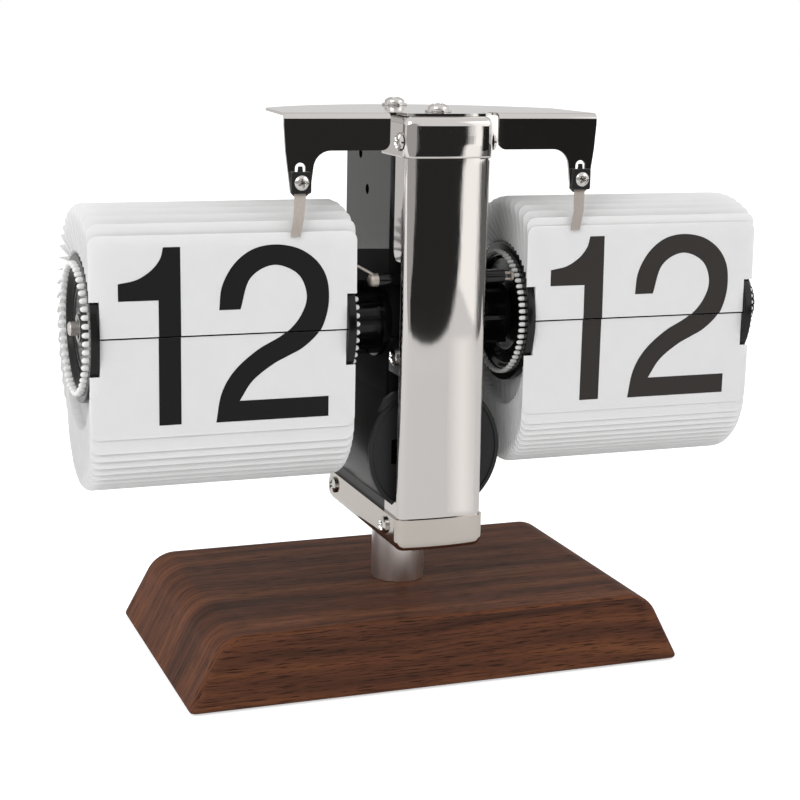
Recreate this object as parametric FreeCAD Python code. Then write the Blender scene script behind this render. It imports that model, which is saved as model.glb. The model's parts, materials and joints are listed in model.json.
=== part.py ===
# Desk flip clock on a wooden foot, in millimetres.
# X runs across the clock, the front looks along -Y, +Z is up.
# The origin is the centre of the foot's underside, on the table.
import FreeCAD, Part

import math
import os

Vector = FreeCAD.Vector

# ---------------------------------------------------------------- driving dimensions

# wooden base
base_length = 155.0
base_width = 91.0
base_height = 21.4
base_end_slope = 10.5          # how far each end face leans in, bottom to top
base_side_slope = 2.3          # the same for the long faces
base_shoulder_radius = 10.0    # rounding where the top rolls over into the ends
base_corner_radius = 2.5
pad_thickness = 0.4            # rubber sheet under the wood
pad_inset = 6.0
pad_corner_radius = 5.0

# post and the bolt through it
post_radius = 8.15
post_y = -2.0
bracket_bottom = 39.8
bolt_radius = 2.5
bolt_head_radius = 4.6
bolt_head_height = 3.2
bolt_reach = 7.0               # thread length inside the case foot
washer_radius = 8.0
washer_thickness = 1.0
counterbore_play = 0.5
counterbore_extra = 1.0         # how far the bolt head sits up inside its counterbore
socket_share = 0.5              # hex socket, as a share of the head's radius and height
screw_clearance = 0.1

# polished sheet-metal shell of the head
inner_half_width = 13.0        # half the width between the side walls
sheet = 0.7
front_corner_y = -36.5         # where the bowed front meets the side walls
front_bow_radius = 85.0
front_corner_radius = 2.4
column_flange_back = -31.0     # rear edge of the column's upper side tabs
column_edge_back = -34.6       # rear edge of its narrow lower lips
column_tab_bottom = 127.8
column_foot_tab_back = -24.7    # the short tabs at its lower end reach further back
column_foot_tab_top = 51.8
column_play = 0.2               # the cover stands this far off the tray's floor
bracket_height = 9.8
bracket_floor = 1.0
bracket_back = 26.0
bracket_screw_front_y = -27.0
bracket_screw_back_y = 20.0
bracket_screw_rise = 6.0
bracket_edge_radius = 1.8
cap_bottom = 154.0
cap_top = 165.5
cap_back = -18.0
cap_edge_radius = 2.6
cap_screw_y = -33.6
cap_screw_z = 158.4
cap_screw_reach = 7.0
bracket_screw_reach = 6.0

# T-shaped plate with its two arms
plate_half_span = 47.2
plate_tip_half_span = 45.0
plate_tip_y = -7.0
plate_back_y = 14.0
plate_sheet = 0.8
plate_bend_radius = 1.6         # outside of the folds
plate_relief = 2.6             # depth of the notch at the inner end of each fold
plate_nose_play = 0.6          # the plate's middle is this much narrower than the cap
plate_nose_setback = 1.5
flange_front = -32.8
flange_gap = 3.4                # from the inner face of the cap's side to the flange
flange_inner_x = inner_half_width + flange_gap
flange_low_z = 156.0
leg_bottom_z = 143.6
leg_outer_x = 45.2
leg_inner_x = 39.6
leg_draw = 1.5                 # how much wider the leg's inner edge is at its root
leg_corner = 1.0
leg_root_radius = 5.0
flange_corner_radius = 2.4
flange_end_z = 163.0           # the end edge is straight down to here
flange_end_draw = 0.5
slot_x = 42.5
slot_half_width = 1.5
slot_top = 152.8
slot_bottom = 146.0
arm_screw_front_y = -27.0
arm_screw_back_y = 9.0
arm_screw_reach = 8.0
arm_head_extra = 0.4            # the two top heads are larger and higher
washer_rim = 1.2                # how far a washer stands out round its head
arm_washer_thickness = 0.6

# catch fingers
finger_width = 3.3
finger_thickness = 0.3
finger_top = 150.0
finger_knee_z = 143.8
finger_tip_z = 132.7
finger_lean = -1.8             # sideways set of both tips
finger_bend_share = 0.93       # the blade's width at its bend and at its tip, as shares
finger_tip_share = 0.85
finger_stand_off = 0.25        # between the tip and the shown leaf's face
clamp_half_width = 2.9
clamp_low = 144.4
clamp_high = 150.4
clamp_thickness = 1.0
clamp_corner = 0.6
clamp_screw_radius = 1.1
clamp_head_radius = 2.1
clamp_head_height = 1.3
clamp_nut_radius = 2.5
clamp_nut_height = 1.8
clamp_screw_overrun = 0.8

# drums and leaves
axis_y = -15.2
axis_z = 106.2
drum_inner_x = 26.1            # leaf edges nearest the column
drum_outer_x = 101.5
ring_radius = 19.0             # circle of the leaf hinges
disc_rim = 2.7                  # disc material outside the hinge circle
disc_radius = ring_radius + disc_rim
disc_thickness = 3.5
disc_face_inset = 0.2          # disc faces lie this far inside the leaf edges
disc_band = 2.4                 # flat band between the hinge circle and the dish
dish_radius = ring_radius - disc_band
dish_slope = 1.0
dish_floor = 1.2
disc_hub_radius = 5.0
disc_hub_height = 2.4
disc_hub_draw = 0.6              # how far the hub spreads towards its foot
spindle_radius = 2.0
core_radius = 6.0
leaf_height = 27.8             # hinge line to free edge
leaf_thickness = 0.22
leaf_notch_width = 4.0
leaf_notch_play = 0.4
leaf_notch_height = math.sqrt(disc_radius ** 2 - ring_radius ** 2) + leaf_notch_play
leaf_corner = 2.6
leaf_tail = 0.5                # leaf material beyond the hinge line
leaf_split_gap = 0.25          # half the slit between the shown halves
hour_leaves = 48
minute_leaves = 60
front_leaf_offset = 0.45       # the shown upper leaf stands this far in front of the ring
front_leaf_lean = 1.5          # degrees it leans back
lift_angle = 5.7               # degrees by which a resting leaf lies flatter than its tangent
pin_length = 2.0
inner_pin_share = 0.9            # the pins on the inner discs are this share of it
hour_pin_radius = 0.75
minute_pin_radius = 0.62
spindle_end_x = 103.7
collar_radius = 4.0
collar_thickness = 1.0
knob_radius = 8.6
knob_gap = 1.2                  # between the hinge pins' ends and the knob's grip
knob_end_x = 110.0
knob_wall = 1.2                 # left over the blind end of its bore
knob_bevel = 0.8
knob_flutes = 24
knob_flute_radius = 0.8
knob_flute_lift = 1 / 3          # share of that radius by which a flute's centre clears the rim
running_clearance = 0.05

# movement case and battery tube
case_front = -26.0
case_back = 16.0
case_top = 164.8
case_wall = 1.6
tube_z = 68.5
tube_radius = 20.4
tube_bore = 17.6
tube_front = -29.5
tube_back = 34.5
case_foot_front = -24.5
case_foot_back = 24.0
case_edge_radius = 2.0
case_screw_head = 2.2
case_screw_radius = 1.2
case_screw_sink = 1.3           # how deep its head lies in the wall
case_screw_head_height = 1.2
case_screw_end = 9.0            # how far past the middle it reaches
case_screw_low_z = 94.0
case_screw_high_z = 157.0
case_boss_wall = 0.8
case_vent_radius = 1.5
case_vents = [(-4.6, 142.5), (1.8, 152.6)]  # (y, z) of the two holes in the left wall
foot_roof_gap = 1.0
battery_cap_thickness = 1.5
battery_cap_rim = 1.2
battery_cap_sink = 0.4
battery_slot_x = -11.5
battery_slot_half_width = 0.9
battery_slot_half_height = 3.4
battery_cover_thickness = 2.0
battery_cover_bevel = 0.8
battery_spigot_length = 1.2
battery_spigot_wall = 1.5
battery_spigot_play = 0.15
coin_slot_half_width = 6.5
coin_slot_half_height = 1.1
coin_slot_depth = 1.0
cell_radius = 17.1
cell_length = 59.5
cell_nub = 2.0
cell_nub_radius = 4.75
contact_thickness = 0.5
contact_radius = 7.0
spring_tip_radius = 4.0
spring_root_radius = 8.0
spring_bore = 3.0
boss_case_radius = 11.5
boss_disc_radius = 9.0
boss_ribs = 8
boss_wall = 1.6
boss_rib_half_width = 0.6
boss_play = 0.3                 # clear of the disc and of the spindle
boss_waist = 1.0
bush_radius = 4.0
stay_height = 10.0
index_y = -28.6                 # cross bar with the drum detents
index_z = 119.0
index_radius = 2.1
index_left_x = -18.0
index_right_x = 21.0
index_lug_half = 3.0
index_cap_radius = 1.9
index_cap_length = 2.8
index_spring_root = 1 / 3        # where along the cap the spring finger leaves it
index_dome_share = 0.8
index_pin_radius = 0.4
index_pin_length = 2.2
index_pin_spread = 0.9
index_button_radius = 1.5
index_button_thickness = 0.7
index_spring_run = 5.2          # how far the left spring finger goes out and up
index_spring_rise = 2.8
stay_front_gap = 2.6            # leaves room for the bow's rounded corners
stay_play = 0.1
middle_stay_z = 92.0
stay_screw_reach = 5.5

# gear train inside the case
gear_module = 0.36
pinion_teeth = 8
hour_wheel_teeth = 48
motion_wheel_teeth = 32
minute_wheel_teeth = 48
drive_wheel_teeth = 40
gear_thickness = 1.2
pinion_thickness = 2.4
addendum = 0.8                  # in modules
dedendum = 1.15
root_share = 0.27               # half a tooth's width at root and tip, in pitches
tip_share = 0.09
arbor_radius = 0.7
arbor_sink = 0.9                # how far an arbor's end goes into the wall
arbor_end_play = 0.1             # free length past each end of an arbor
inner_spindle_radius = 1.2
motion_arbor_angle = 0.0       # degrees from +Y, seen along -X
drive_arbor_angle = 80.0
rotor_angle = 60.0
rotor_magnet_radius = 4.0
rotor_magnet_length = 3.0
rotor_magnet_x = 7.0
bridge_x = -2.6
bridge_thickness = 1.2
bridge_low_z = 100.0
bridge_high_z = 131.0
hour_wheel_x = -10.4            # where each wheel and pinion starts along its arbor
motion_pinion_x = -11.0
cannon_pinion_x = -5.8
motion_wheel_x = -5.2
minute_wheel_x = 0.0
drive_pinion_x = -0.6
drive_wheel_x = 4.2
rotor_pinion_x = 3.6
hour_spindle_end_x = -6.4
spindle_bore_depth = 4.1        # for the minute spindle's nose
minute_spindle_step_x = 3.4
spindle_bevel = 0.4

# electrics
stator_x = 7.9
stator_thickness = 1.2
stator_low_z = 117.0
stator_window_low_z = 132.0
stator_window_high_z = 143.5
stator_high_z = 148.0
stator_window_front = -16.0
stator_window_back = 4.0
magnet_gap = 0.8
coil_margin = 2.0               # between the winding and the window's ends
coil_build = 1.9                # depth of the winding on each face of the bar
coil_low_drop = 2.7
coil_high_rise = 2.6
coil_edge_radius = 1.2
board_x = -10.2
board_thickness = 1.2
board_low_z = 124.0
board_high_z = 152.0
chip_size = 10.0
chip_height = 1.6
chip_corner_y = -10.0
chip_corner_z = 136.0
crystal_width = 2.4
crystal_length = 8.0
crystal_corner_y = 5.0
crystal_corner_z = 130.0

# screw heads
small_head_radius = 2.6
small_head_height = 1.5
small_shank_radius = 1.4
head_bevel_share = 0.45

tiny = 1e-4                     # lengths below this count as nothing
far = 200.0                     # reaches past everything, for cutting tools


# ---------------------------------------------------------------- helpers

def block(x0, x1, y0, y1, z0, z1):
    """Box between two corners."""
    return Part.makeBox(x1 - x0, y1 - y0, z1 - z0, Vector(x0, y0, z0))


def rod_x(radius, x0, x1, y, z):
    """Cylinder along X."""
    return Part.makeCylinder(radius, x1 - x0, Vector(x0, y, z), Vector(1, 0, 0))


def rod_y(radius, y0, y1, x, z):
    """Cylinder along Y."""
    return Part.makeCylinder(radius, y1 - y0, Vector(x, y0, z), Vector(0, 1, 0))


def rod_z(radius, z0, z1, x, y):
    """Cylinder along Z."""
    return Part.makeCylinder(radius, z1 - z0, Vector(x, y, z0), Vector(0, 0, 1))


def prism(points, direction):
    """Solid swept from a flat closed outline."""
    wire = Part.makePolygon(points + [points[0]])
    return Part.Face(wire).extrude(direction)


def vertical_edges(shape):
    """Straight edges that run along Z."""
    found = []
    for edge in shape.Edges:
        if len(edge.Vertexes) != 2:
            continue
        run = edge.Vertexes[1].Point - edge.Vertexes[0].Point
        if abs(run.z) > tiny and abs(run.x) < tiny and abs(run.y) < tiny:
            found.append(edge)
    return found


def edges_at(shape, z):
    """Edges that lie wholly at one height."""
    found = []
    for edge in shape.Edges:
        box = edge.BoundBox
        if abs(box.ZMin - z) < tiny and abs(box.ZMax - z) < tiny:
            found.append(edge)
    return found


def turned(profile, x_sign, centre_x):
    """Solid of revolution about the drum axis.

    The profile is a list of (distance outward from centre_x, radius) points."""
    points = []
    for out, radius in profile:
        points.append(Vector(centre_x + x_sign * out, axis_y, axis_z + radius))
    wire = Part.makePolygon(points + [points[0]])
    return Part.Face(wire).revolve(Vector(0, axis_y, axis_z), Vector(1, 0, 0), 360)


def side_screw(side, seat_x, y, z, depth):
    """Pan-head screw whose head sits on a wall facing sideways."""
    head = rod_x(small_head_radius, seat_x, seat_x + small_head_height, y, z)
    outer_rim = [edge for edge in head.Edges if edge.BoundBox.XMin > seat_x + small_head_height - tiny]
    head = head.makeChamfer(small_head_height * head_bevel_share, outer_rim)
    screw = head.fuse(rod_x(small_shank_radius, seat_x - depth, seat_x, y, z)).removeSplitter()
    if side < 0:
        screw = screw.mirror(Vector(0, 0, 0), Vector(1, 0, 0))
    return screw


def side_hole(seat_x, y, z, depth):
    """Cutter for both screws of a mirrored pair."""
    radius = small_shank_radius + screw_clearance
    return rod_x(radius, -seat_x - 1, -seat_x + depth + 1, y, z).fuse(
        rod_x(radius, seat_x - depth - 1, seat_x + 1, y, z))


def bowed(half_width, bow_radius, back, z0, z1):
    """Upright body with straight sides and a front bowed about a vertical axis."""
    bow_centre = front_corner_y + math.sqrt(front_bow_radius ** 2 - inner_half_width ** 2)
    body = block(-half_width, half_width, bow_centre - bow_radius - 1, back, z0, z1)
    body = body.common(rod_z(bow_radius, z0, z1, 0, bow_centre))
    corners = [edge for edge in vertical_edges(body)
               if edge.BoundBox.YMax < front_corner_y + front_corner_radius]
    grow = half_width - inner_half_width
    return body.makeFillet(front_corner_radius + grow, corners)


def gear(teeth, module, x0, x1, y, z, bore, tooth_angle):
    """Spur gear about X with one tooth centred at tooth_angle, in radians from +Y towards +Z."""
    pitch_radius = teeth * module / 2
    tip = pitch_radius + addendum * module
    root = pitch_radius - dedendum * module
    step = 2 * math.pi / teeth
    points = []
    for number in range(teeth):
        centre = tooth_angle + number * step
        for radius, share in ((root, -root_share), (tip, -tip_share), (tip, tip_share), (root, root_share)):
            angle = centre + share * step
            points.append(Vector(x0, y + radius * math.cos(angle), z + radius * math.sin(angle)))
    wheel = prism(points, Vector(x1 - x0, 0, 0))
    if bore > 0:
        wheel = wheel.cut(rod_x(bore, x0 - 1, x1 + 1, y, z))
    return wheel


def polar(radius, degrees):
    """Point offset in the YZ plane, measured from +Y towards +Z."""
    angle = math.radians(degrees)
    return radius * math.cos(angle), radius * math.sin(angle)


# ---------------------------------------------------------------- foot and post

def make_base():
    """Walnut block: rolled shoulders at the ends, slightly tapered long faces."""
    half = base_length / 2
    top_half = half - base_end_slope
    low = pad_thickness
    outline = [Vector(-half, -base_width, low), Vector(half, -base_width, low),
               Vector(top_half, -base_width, base_height), Vector(-top_half, -base_width, base_height)]
    body = prism(outline, Vector(0, 2 * base_width, 0))
    shoulders = [edge for edge in edges_at(body, base_height) if edge.BoundBox.YLength > base_width]
    body = body.makeFillet(base_shoulder_radius, shoulders)
    rise = base_height - low
    side = [Vector(-half, -base_width / 2, low), Vector(-half, base_width / 2, low),
            Vector(-half, base_width / 2 - base_side_slope, low + rise),
            Vector(-half, -base_width / 2 + base_side_slope, low + rise)]
    body = body.common(prism(side, Vector(base_length, 0, 0)))
    ends = [edge for edge in body.Edges
            if edge.BoundBox.ZLength > tiny and edge.BoundBox.XLength < base_length / 2]
    body = body.makeFillet(base_corner_radius, ends)
    head_room = bolt_head_height + washer_thickness
    body = body.cut(rod_z(washer_radius + counterbore_play, low - 1, low + head_room + counterbore_extra,
                          0, post_y))
    return body.cut(rod_z(bolt_radius + screw_clearance, 0, base_height + 1, 0, post_y))


def make_pad():
    """Thin rubber sheet that covers the underside and its bolt."""
    x = base_length / 2 - pad_inset
    y = base_width / 2 - pad_inset
    pad = block(-x, x, -y, y, 0, pad_thickness)
    return pad.makeFillet(pad_corner_radius, vertical_edges(pad))


def washer_seat():
    """Height of the counterbore's ceiling under the base."""
    return pad_thickness + bolt_head_height + washer_thickness + counterbore_extra


def make_base_washer():
    """Plain washer under the bolt head."""
    top = washer_seat()
    ring = rod_z(washer_radius, top - washer_thickness, top, 0, post_y)
    return ring.cut(rod_z(bolt_radius + screw_clearance, 0, top + 1, 0, post_y))


def bolt_top():
    """Upper end of the through bolt."""
    return bracket_bottom + bracket_floor + bolt_reach


def make_base_screw():
    """Hex-socket bolt from under the base up into the case foot."""
    seat = washer_seat() - washer_thickness
    head = rod_z(bolt_head_radius, seat - bolt_head_height, seat, 0, post_y)
    socket = []
    for corner in range(6):
        dx, dy = polar(bolt_head_radius * socket_share, 60 * corner)
        socket.append(Vector(dx, post_y + dy, seat - bolt_head_height))
    head = head.cut(prism(socket, Vector(0, 0, bolt_head_height * socket_share)))
    return head.fuse(rod_z(bolt_radius, seat, bolt_top(), 0, post_y)).removeSplitter()


def make_post():
    """Short brushed pillar between the wood and the head."""
    post = rod_z(post_radius, base_height, bracket_bottom, 0, post_y)
    return post.cut(rod_z(bolt_radius + screw_clearance, 0, bracket_bottom + 1, 0, post_y))


# ---------------------------------------------------------------- sheet-metal head

def make_bracket():
    """Shallow drawn tray that carries the case: bowed front, rounded rear ears."""
    top = bracket_bottom + bracket_height
    outer = bowed(inner_half_width + sheet, front_bow_radius + sheet, bracket_back, bracket_bottom, top)
    outer = outer.makeFillet(bracket_edge_radius, [edge for edge in edges_at(outer, bracket_bottom)
                                   if edge.BoundBox.YMax < bracket_back - 1])
    inner = bowed(inner_half_width, front_bow_radius, bracket_back + 1,
                  bracket_bottom + bracket_floor, top + 1)
    tray = outer.cut(inner)
    ear = bracket_height / 2
    keep = block(-far, far, -far, bracket_back - ear, bracket_bottom, top).fuse(
        rod_x(ear, -far, far, bracket_back - ear, bracket_bottom + ear))
    tray = tray.common(keep)
    tray = tray.cut(rod_z(bolt_radius + screw_clearance, 0, far, 0, post_y))
    for y in (bracket_screw_front_y, bracket_screw_back_y):
        tray = tray.cut(side_hole(inner_half_width + sheet, y, bracket_bottom + bracket_screw_rise,
                                  bracket_screw_reach))
    return tray


def make_bracket_screws():
    """Two pan-head screws on each side of the tray."""
    screws = []
    for side in (-1, 1):
        for y in (bracket_screw_front_y, bracket_screw_back_y):
            screws.append(side_screw(side, inner_half_width + sheet, y, bracket_bottom + bracket_screw_rise,
                                     bracket_screw_reach))
    return Part.makeCompound(screws)


def make_column():
    """Polished front cover: one bowed sheet with wider side tabs at both ends."""
    low = bracket_bottom + bracket_floor + column_play
    high = cap_top - cap_edge_radius
    outer = bowed(inner_half_width, front_bow_radius, column_foot_tab_back, low, high)
    inner = bowed(inner_half_width - sheet, front_bow_radius - sheet, column_foot_tab_back + 1,
                  low - 1, high + 1)
    cover = outer.cut(inner)
    cover = cover.cut(block(-far, far, column_flange_back, 0, column_foot_tab_top, far))
    tab_radius = (column_flange_back - column_edge_back) / 2
    tab_middle = (column_flange_back + column_edge_back) / 2
    waste = block(-far, far, column_edge_back, 0, column_foot_tab_top, column_tab_bottom - tab_radius)
    waste = waste.cut(rod_x(tab_radius, -far, far, tab_middle, column_tab_bottom - tab_radius))
    cover = cover.cut(waste)
    cover = cover.cut(side_hole(inner_half_width + sheet, bracket_screw_front_y,
                                bracket_bottom + bracket_screw_rise,
                                bracket_screw_reach))
    return cover.cut(side_hole(inner_half_width + sheet, cap_screw_y, cap_screw_z, cap_screw_reach))


def make_cap():
    """Drawn cap over the column's upper end, rounded along its top edge."""
    outer = bowed(inner_half_width + sheet, front_bow_radius + sheet, cap_back, cap_bottom, cap_top)
    rim = [edge for edge in edges_at(outer, cap_top) if edge.BoundBox.YMin < cap_back - 1]
    outer = outer.makeFillet(cap_edge_radius, rim)
    ceiling = cap_top - sheet
    inner = bowed(inner_half_width, front_bow_radius, cap_back + 1, cap_bottom - 1, ceiling)
    inner_rim = [edge for edge in edges_at(inner, ceiling) if edge.BoundBox.YMin < cap_back]
    inner = inner.makeFillet(cap_edge_radius - sheet, inner_rim)
    cap = outer.cut(inner)
    cap = cap.cut(side_hole(inner_half_width + sheet, cap_screw_y, cap_screw_z, cap_screw_reach))
    return cap.cut(rod_z(small_shank_radius + screw_clearance, 0, far, 0, arm_screw_front_y))


def make_cap_screws():
    """One pan-head screw on each side of the cap."""
    seat = inner_half_width + sheet
    return Part.makeCompound([side_screw(side, seat, cap_screw_y, cap_screw_z, cap_screw_reach)
                              for side in (-1, 1)])


def make_arm_plate():
    """T-shaped plate: arched rear edge, bowed middle, two arms folded down into legs."""
    low = cap_top
    high = cap_top + plate_sheet
    half_chord = plate_tip_half_span
    rise = plate_back_y - plate_tip_y
    arch_radius = (half_chord ** 2 + rise ** 2) / (2 * rise)
    arch = rod_z(arch_radius, low, high, 0, plate_back_y - arch_radius)
    blank = prism([Vector(-plate_half_span, flange_front, low), Vector(plate_half_span, flange_front, low),
                   Vector(plate_tip_half_span, plate_tip_y + tiny, low),
                   Vector(half_chord, plate_back_y, low),
                   Vector(-half_chord, plate_back_y, low),
                   Vector(-plate_tip_half_span, plate_tip_y + tiny, low)],
                  Vector(0, 0, high - low)).common(arch)
    nose_half_width = inner_half_width - plate_nose_play
    nose = bowed(nose_half_width, front_bow_radius - plate_nose_setback, flange_front + leg_root_radius,
                 low, high)
    plate = blank.fuse(nose)
    for side in (-1, 1):
        inner, outer = sorted((side * nose_half_width, side * flange_inner_x))
        plate = plate.cut(block(inner, outer, flange_front - 1, flange_front + plate_relief,
                                low - 1, high + 1))
        plate = plate.fuse(arm_flange(side, high))
    plate = plate.removeSplitter()
    plate = plate.makeFillet(plate_bend_radius, fold_edges(plate, flange_front, high))
    plate = plate.makeFillet(plate_bend_radius - plate_sheet,
                             fold_edges(plate, flange_front + plate_sheet, low))
    for y in (arm_screw_front_y, arm_screw_back_y):
        plate = plate.cut(rod_z(small_shank_radius + screw_clearance, 0, far, 0, y))
    return plate


def fold_edges(plate, y, z):
    """Long edges along X at one place in the YZ plane."""
    found = []
    for edge in plate.Edges:
        box = edge.BoundBox
        if box.XLength > leg_outer_x - leg_inner_x and box.YLength < tiny and box.ZLength < tiny:
            if abs(box.YMin - y) < tiny and abs(box.ZMin - z) < tiny:
                found.append(edge)
    return found


def arm_flange(side, top):
    """Front flange of one arm with its tapered, slotted leg."""
    def at(x, z):
        return Vector(side * x, flange_front, z)
    outline = [at(flange_inner_x, top), at(flange_inner_x, flange_low_z),
               at(leg_inner_x - leg_draw, flange_low_z),
               at(leg_inner_x, leg_bottom_z + leg_corner), at(leg_inner_x + leg_corner, leg_bottom_z),
               at(leg_outer_x - leg_corner, leg_bottom_z), at(leg_outer_x, leg_bottom_z + leg_corner),
               at(plate_half_span - flange_end_draw, flange_low_z), at(plate_half_span, flange_end_z),
               at(plate_half_span, top)]
    flange = prism(outline, Vector(0, plate_sheet, 0))
    along_y = []
    for edge in flange.Edges:
        box = edge.BoundBox
        if box.XLength < tiny and box.ZLength < tiny and abs(box.ZMin - flange_low_z) < tiny:
            along_y.append((abs(box.XMin), edge))
    along_y.sort(key=lambda pair: pair[0])
    flange = flange.makeFillet(flange_corner_radius, [along_y[0][1]])
    inner_corner = [edge for edge in flange.Edges
                    if edge.BoundBox.XLength < tiny and edge.BoundBox.ZLength < tiny
                    and abs(edge.BoundBox.ZMin - flange_low_z) < tiny
                    and abs(abs(edge.BoundBox.XMin) - leg_inner_x + leg_draw) < tiny]
    flange = flange.makeFillet(leg_root_radius, inner_corner)
    near = flange_front - 1
    slot = block(side * slot_x - slot_half_width, side * slot_x + slot_half_width, near, near + far,
                 slot_bottom, slot_top - slot_half_width)
    slot = slot.fuse(rod_y(slot_half_width, near, near + far, side * slot_x,
                           slot_top - slot_half_width))
    return flange.cut(slot)


def make_arm_washers():
    """Washers under the two screws on top."""
    low = cap_top + plate_sheet
    rings = []
    for y in (arm_screw_front_y, arm_screw_back_y):
        ring = rod_z(small_head_radius + washer_rim, low, low + arm_washer_thickness, 0, y)
        rings.append(ring.cut(rod_z(small_shank_radius + screw_clearance, 0, far, 0, y)))
    return Part.makeCompound(rings)


def make_arm_screws():
    """Two domed screws that hold the T-plate to the cap and the case."""
    seat = cap_top + plate_sheet + arm_washer_thickness
    top = seat + small_head_height + arm_head_extra
    screws = []
    for y in (arm_screw_front_y, arm_screw_back_y):
        head = rod_z(small_head_radius + arm_head_extra, seat, top, 0, y)
        head = head.makeChamfer((top - seat) / 2, edges_at(head, top))
        shank = rod_z(small_shank_radius, seat - arm_screw_reach, seat, 0, y)
        screws.append(head.fuse(shank).removeSplitter())
    return Part.makeCompound(screws)


def make_fingers():
    """Two thin steel strips that bend forward over the top leaves."""
    strips = []
    knee_y = flange_front - finger_thickness
    tip_y = axis_y - ring_radius - front_leaf_offset - leaf_thickness / 2 - finger_stand_off
    for side in (-1, 1):
        x = side * slot_x
        upper = block(x - finger_width / 2, x + finger_width / 2, knee_y, flange_front,
                      finger_knee_z, finger_top)
        lower = finger_blade(x, knee_y, tip_y)
        strips.append(upper.fuse(lower).removeSplitter())
    return Part.makeCompound(strips)


def finger_blade(x, knee_y, tip_y):
    """Lower blade of a finger: a slant to the leaf's face, then a straight tapered tip."""
    bend_z = (finger_knee_z + finger_tip_z) / 2
    sections = [(finger_knee_z, 0.0, knee_y, finger_width),
                (bend_z, finger_lean / 2, tip_y, finger_width * finger_bend_share),
                (finger_tip_z, finger_lean, tip_y, finger_width * finger_tip_share)]
    pieces = []
    for upper, lower in zip(sections, sections[1:]):
        wires = []
        for z, shift, y, width in (upper, lower):
            left = x + shift - width / 2
            right = x + shift + width / 2
            wires.append(Part.makePolygon([Vector(left, y, z), Vector(right, y, z),
                                           Vector(right, y + finger_thickness, z),
                                           Vector(left, y + finger_thickness, z), Vector(left, y, z)]))
        pieces.append(Part.makeLoft(wires, True, True))
    return pieces[0].fuse(pieces[1])


def make_finger_clamps():
    """Dark square plates that press the fingers to the legs."""
    front = flange_front - finger_thickness - clamp_thickness
    plates = []
    for side in (-1, 1):
        x = side * slot_x
        plate = block(x - clamp_half_width, x + clamp_half_width, front, front + clamp_thickness,
                      clamp_low, clamp_high)
        corners = [edge for edge in plate.Edges if edge.BoundBox.YLength > clamp_thickness - tiny]
        plates.append(plate.makeFillet(clamp_corner, corners))
    return Part.makeCompound(plates)


def make_finger_screws():
    """Screws through clamp, finger and slot, with a nut behind the leg."""
    seat = flange_front - finger_thickness - clamp_thickness
    back = flange_front + plate_sheet
    middle = (clamp_low + clamp_high) / 2
    screws = []
    for side in (-1, 1):
        x = side * slot_x
        head = rod_y(clamp_head_radius, seat - clamp_head_height, seat, x, middle)
        end = back + clamp_nut_height + clamp_screw_overrun
        shank = rod_y(clamp_screw_radius, seat, end, x, middle)
        nut = []
        for corner in range(6):
            dx, dz = polar(clamp_nut_radius, 60 * corner)
            nut.append(Vector(x + dx, back, middle + dz))
        screws.append(head.fuse([shank, prism(nut, Vector(0, clamp_nut_height, 0))]).removeSplitter())
    return Part.makeCompound(screws)


def finger_screw_hole(shape):
    """Open the screw's way through the clamps and fingers."""
    middle = (clamp_low + clamp_high) / 2
    for side in (-1, 1):
        shape = shape.cut(rod_y(clamp_screw_radius + screw_clearance, -far, far, side * slot_x, middle))
    return shape


# ---------------------------------------------------------------- case, battery, electrics

def case_outside():
    """Outer form of the moulded case: tall box, battery tube and a foot that drops into the tray."""
    tower = block(-inner_half_width, inner_half_width, case_front, case_back, tube_z, case_top)
    tower = tower.makeFillet(case_edge_radius, vertical_edges(tower) + edges_at(tower, case_top))
    tube = rod_y(tube_radius, tube_front, tube_back, 0, tube_z)
    foot = block(-inner_half_width, inner_half_width, case_foot_front, case_foot_back,
                 bracket_bottom + bracket_floor, tube_z)
    boss = rod_z(small_head_radius + washer_rim, case_top, cap_top, 0, arm_screw_back_y)
    return tower.fuse([tube, foot, boss])


def case_screw_places():
    """Where the four case screws run, clear of the wheels."""
    front = case_front + case_wall + case_screw_head
    back = case_back - case_wall - case_screw_head
    return [(y, z) for z in (case_screw_low_z, case_screw_high_z) for y in (front, back)]


def case_hollow():
    """Everything taken out of the case: gear room, battery bore and all screw holes."""
    room = block(-inner_half_width + case_wall, inner_half_width - case_wall, case_front + case_wall,
                 case_back - case_wall, tube_z + tube_radius + case_wall, case_top - case_wall)
    for y, z in case_screw_places():
        room = room.cut(rod_x(case_screw_head + case_boss_wall, -far, far, y, z))
    top_boss = rod_z(small_head_radius + case_boss_wall, case_top - arm_screw_reach, case_top,
                     0, arm_screw_back_y)
    room = room.cut(top_boss)
    cutters = [rod_y(tube_bore, tube_front - 1, tube_back + 1, 0, tube_z),
               rod_x(bush_radius, -far, far, axis_y, axis_z),
               rod_z(bolt_radius + screw_clearance, 0, bolt_top() + counterbore_play, 0, post_y)]
    for y in (arm_screw_front_y, arm_screw_back_y):
        cutters.append(rod_z(small_shank_radius + screw_clearance, case_top - arm_screw_reach - 1, far, 0, y))
    for y in (bracket_screw_front_y, bracket_screw_back_y):
        cutters.append(side_hole(inner_half_width + sheet, y, bracket_bottom + bracket_screw_rise,
                                 bracket_screw_reach))
    for y, z in case_screw_places():
        cutters.append(rod_x(case_screw_radius + screw_clearance, -case_screw_end - counterbore_play,
                             far, y, z))
        cutters.append(rod_x(case_screw_head + screw_clearance, inner_half_width - case_screw_sink,
                             far, y, z))
    for y, z in case_vents:
        cutters.append(rod_x(case_vent_radius, -far, -inner_half_width + 2 * case_wall, y, z))
    for y, z in gear_centres():
        cutters.append(rod_x(arbor_radius + running_clearance, -arbor_reach() - arbor_end_play,
                             arbor_reach() + arbor_end_play, y, z))
    return room.fuse(cutters)


def arbor_reach():
    """How far from the middle the arbors end, inside the side walls."""
    return inner_half_width - case_wall + arbor_sink


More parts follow.
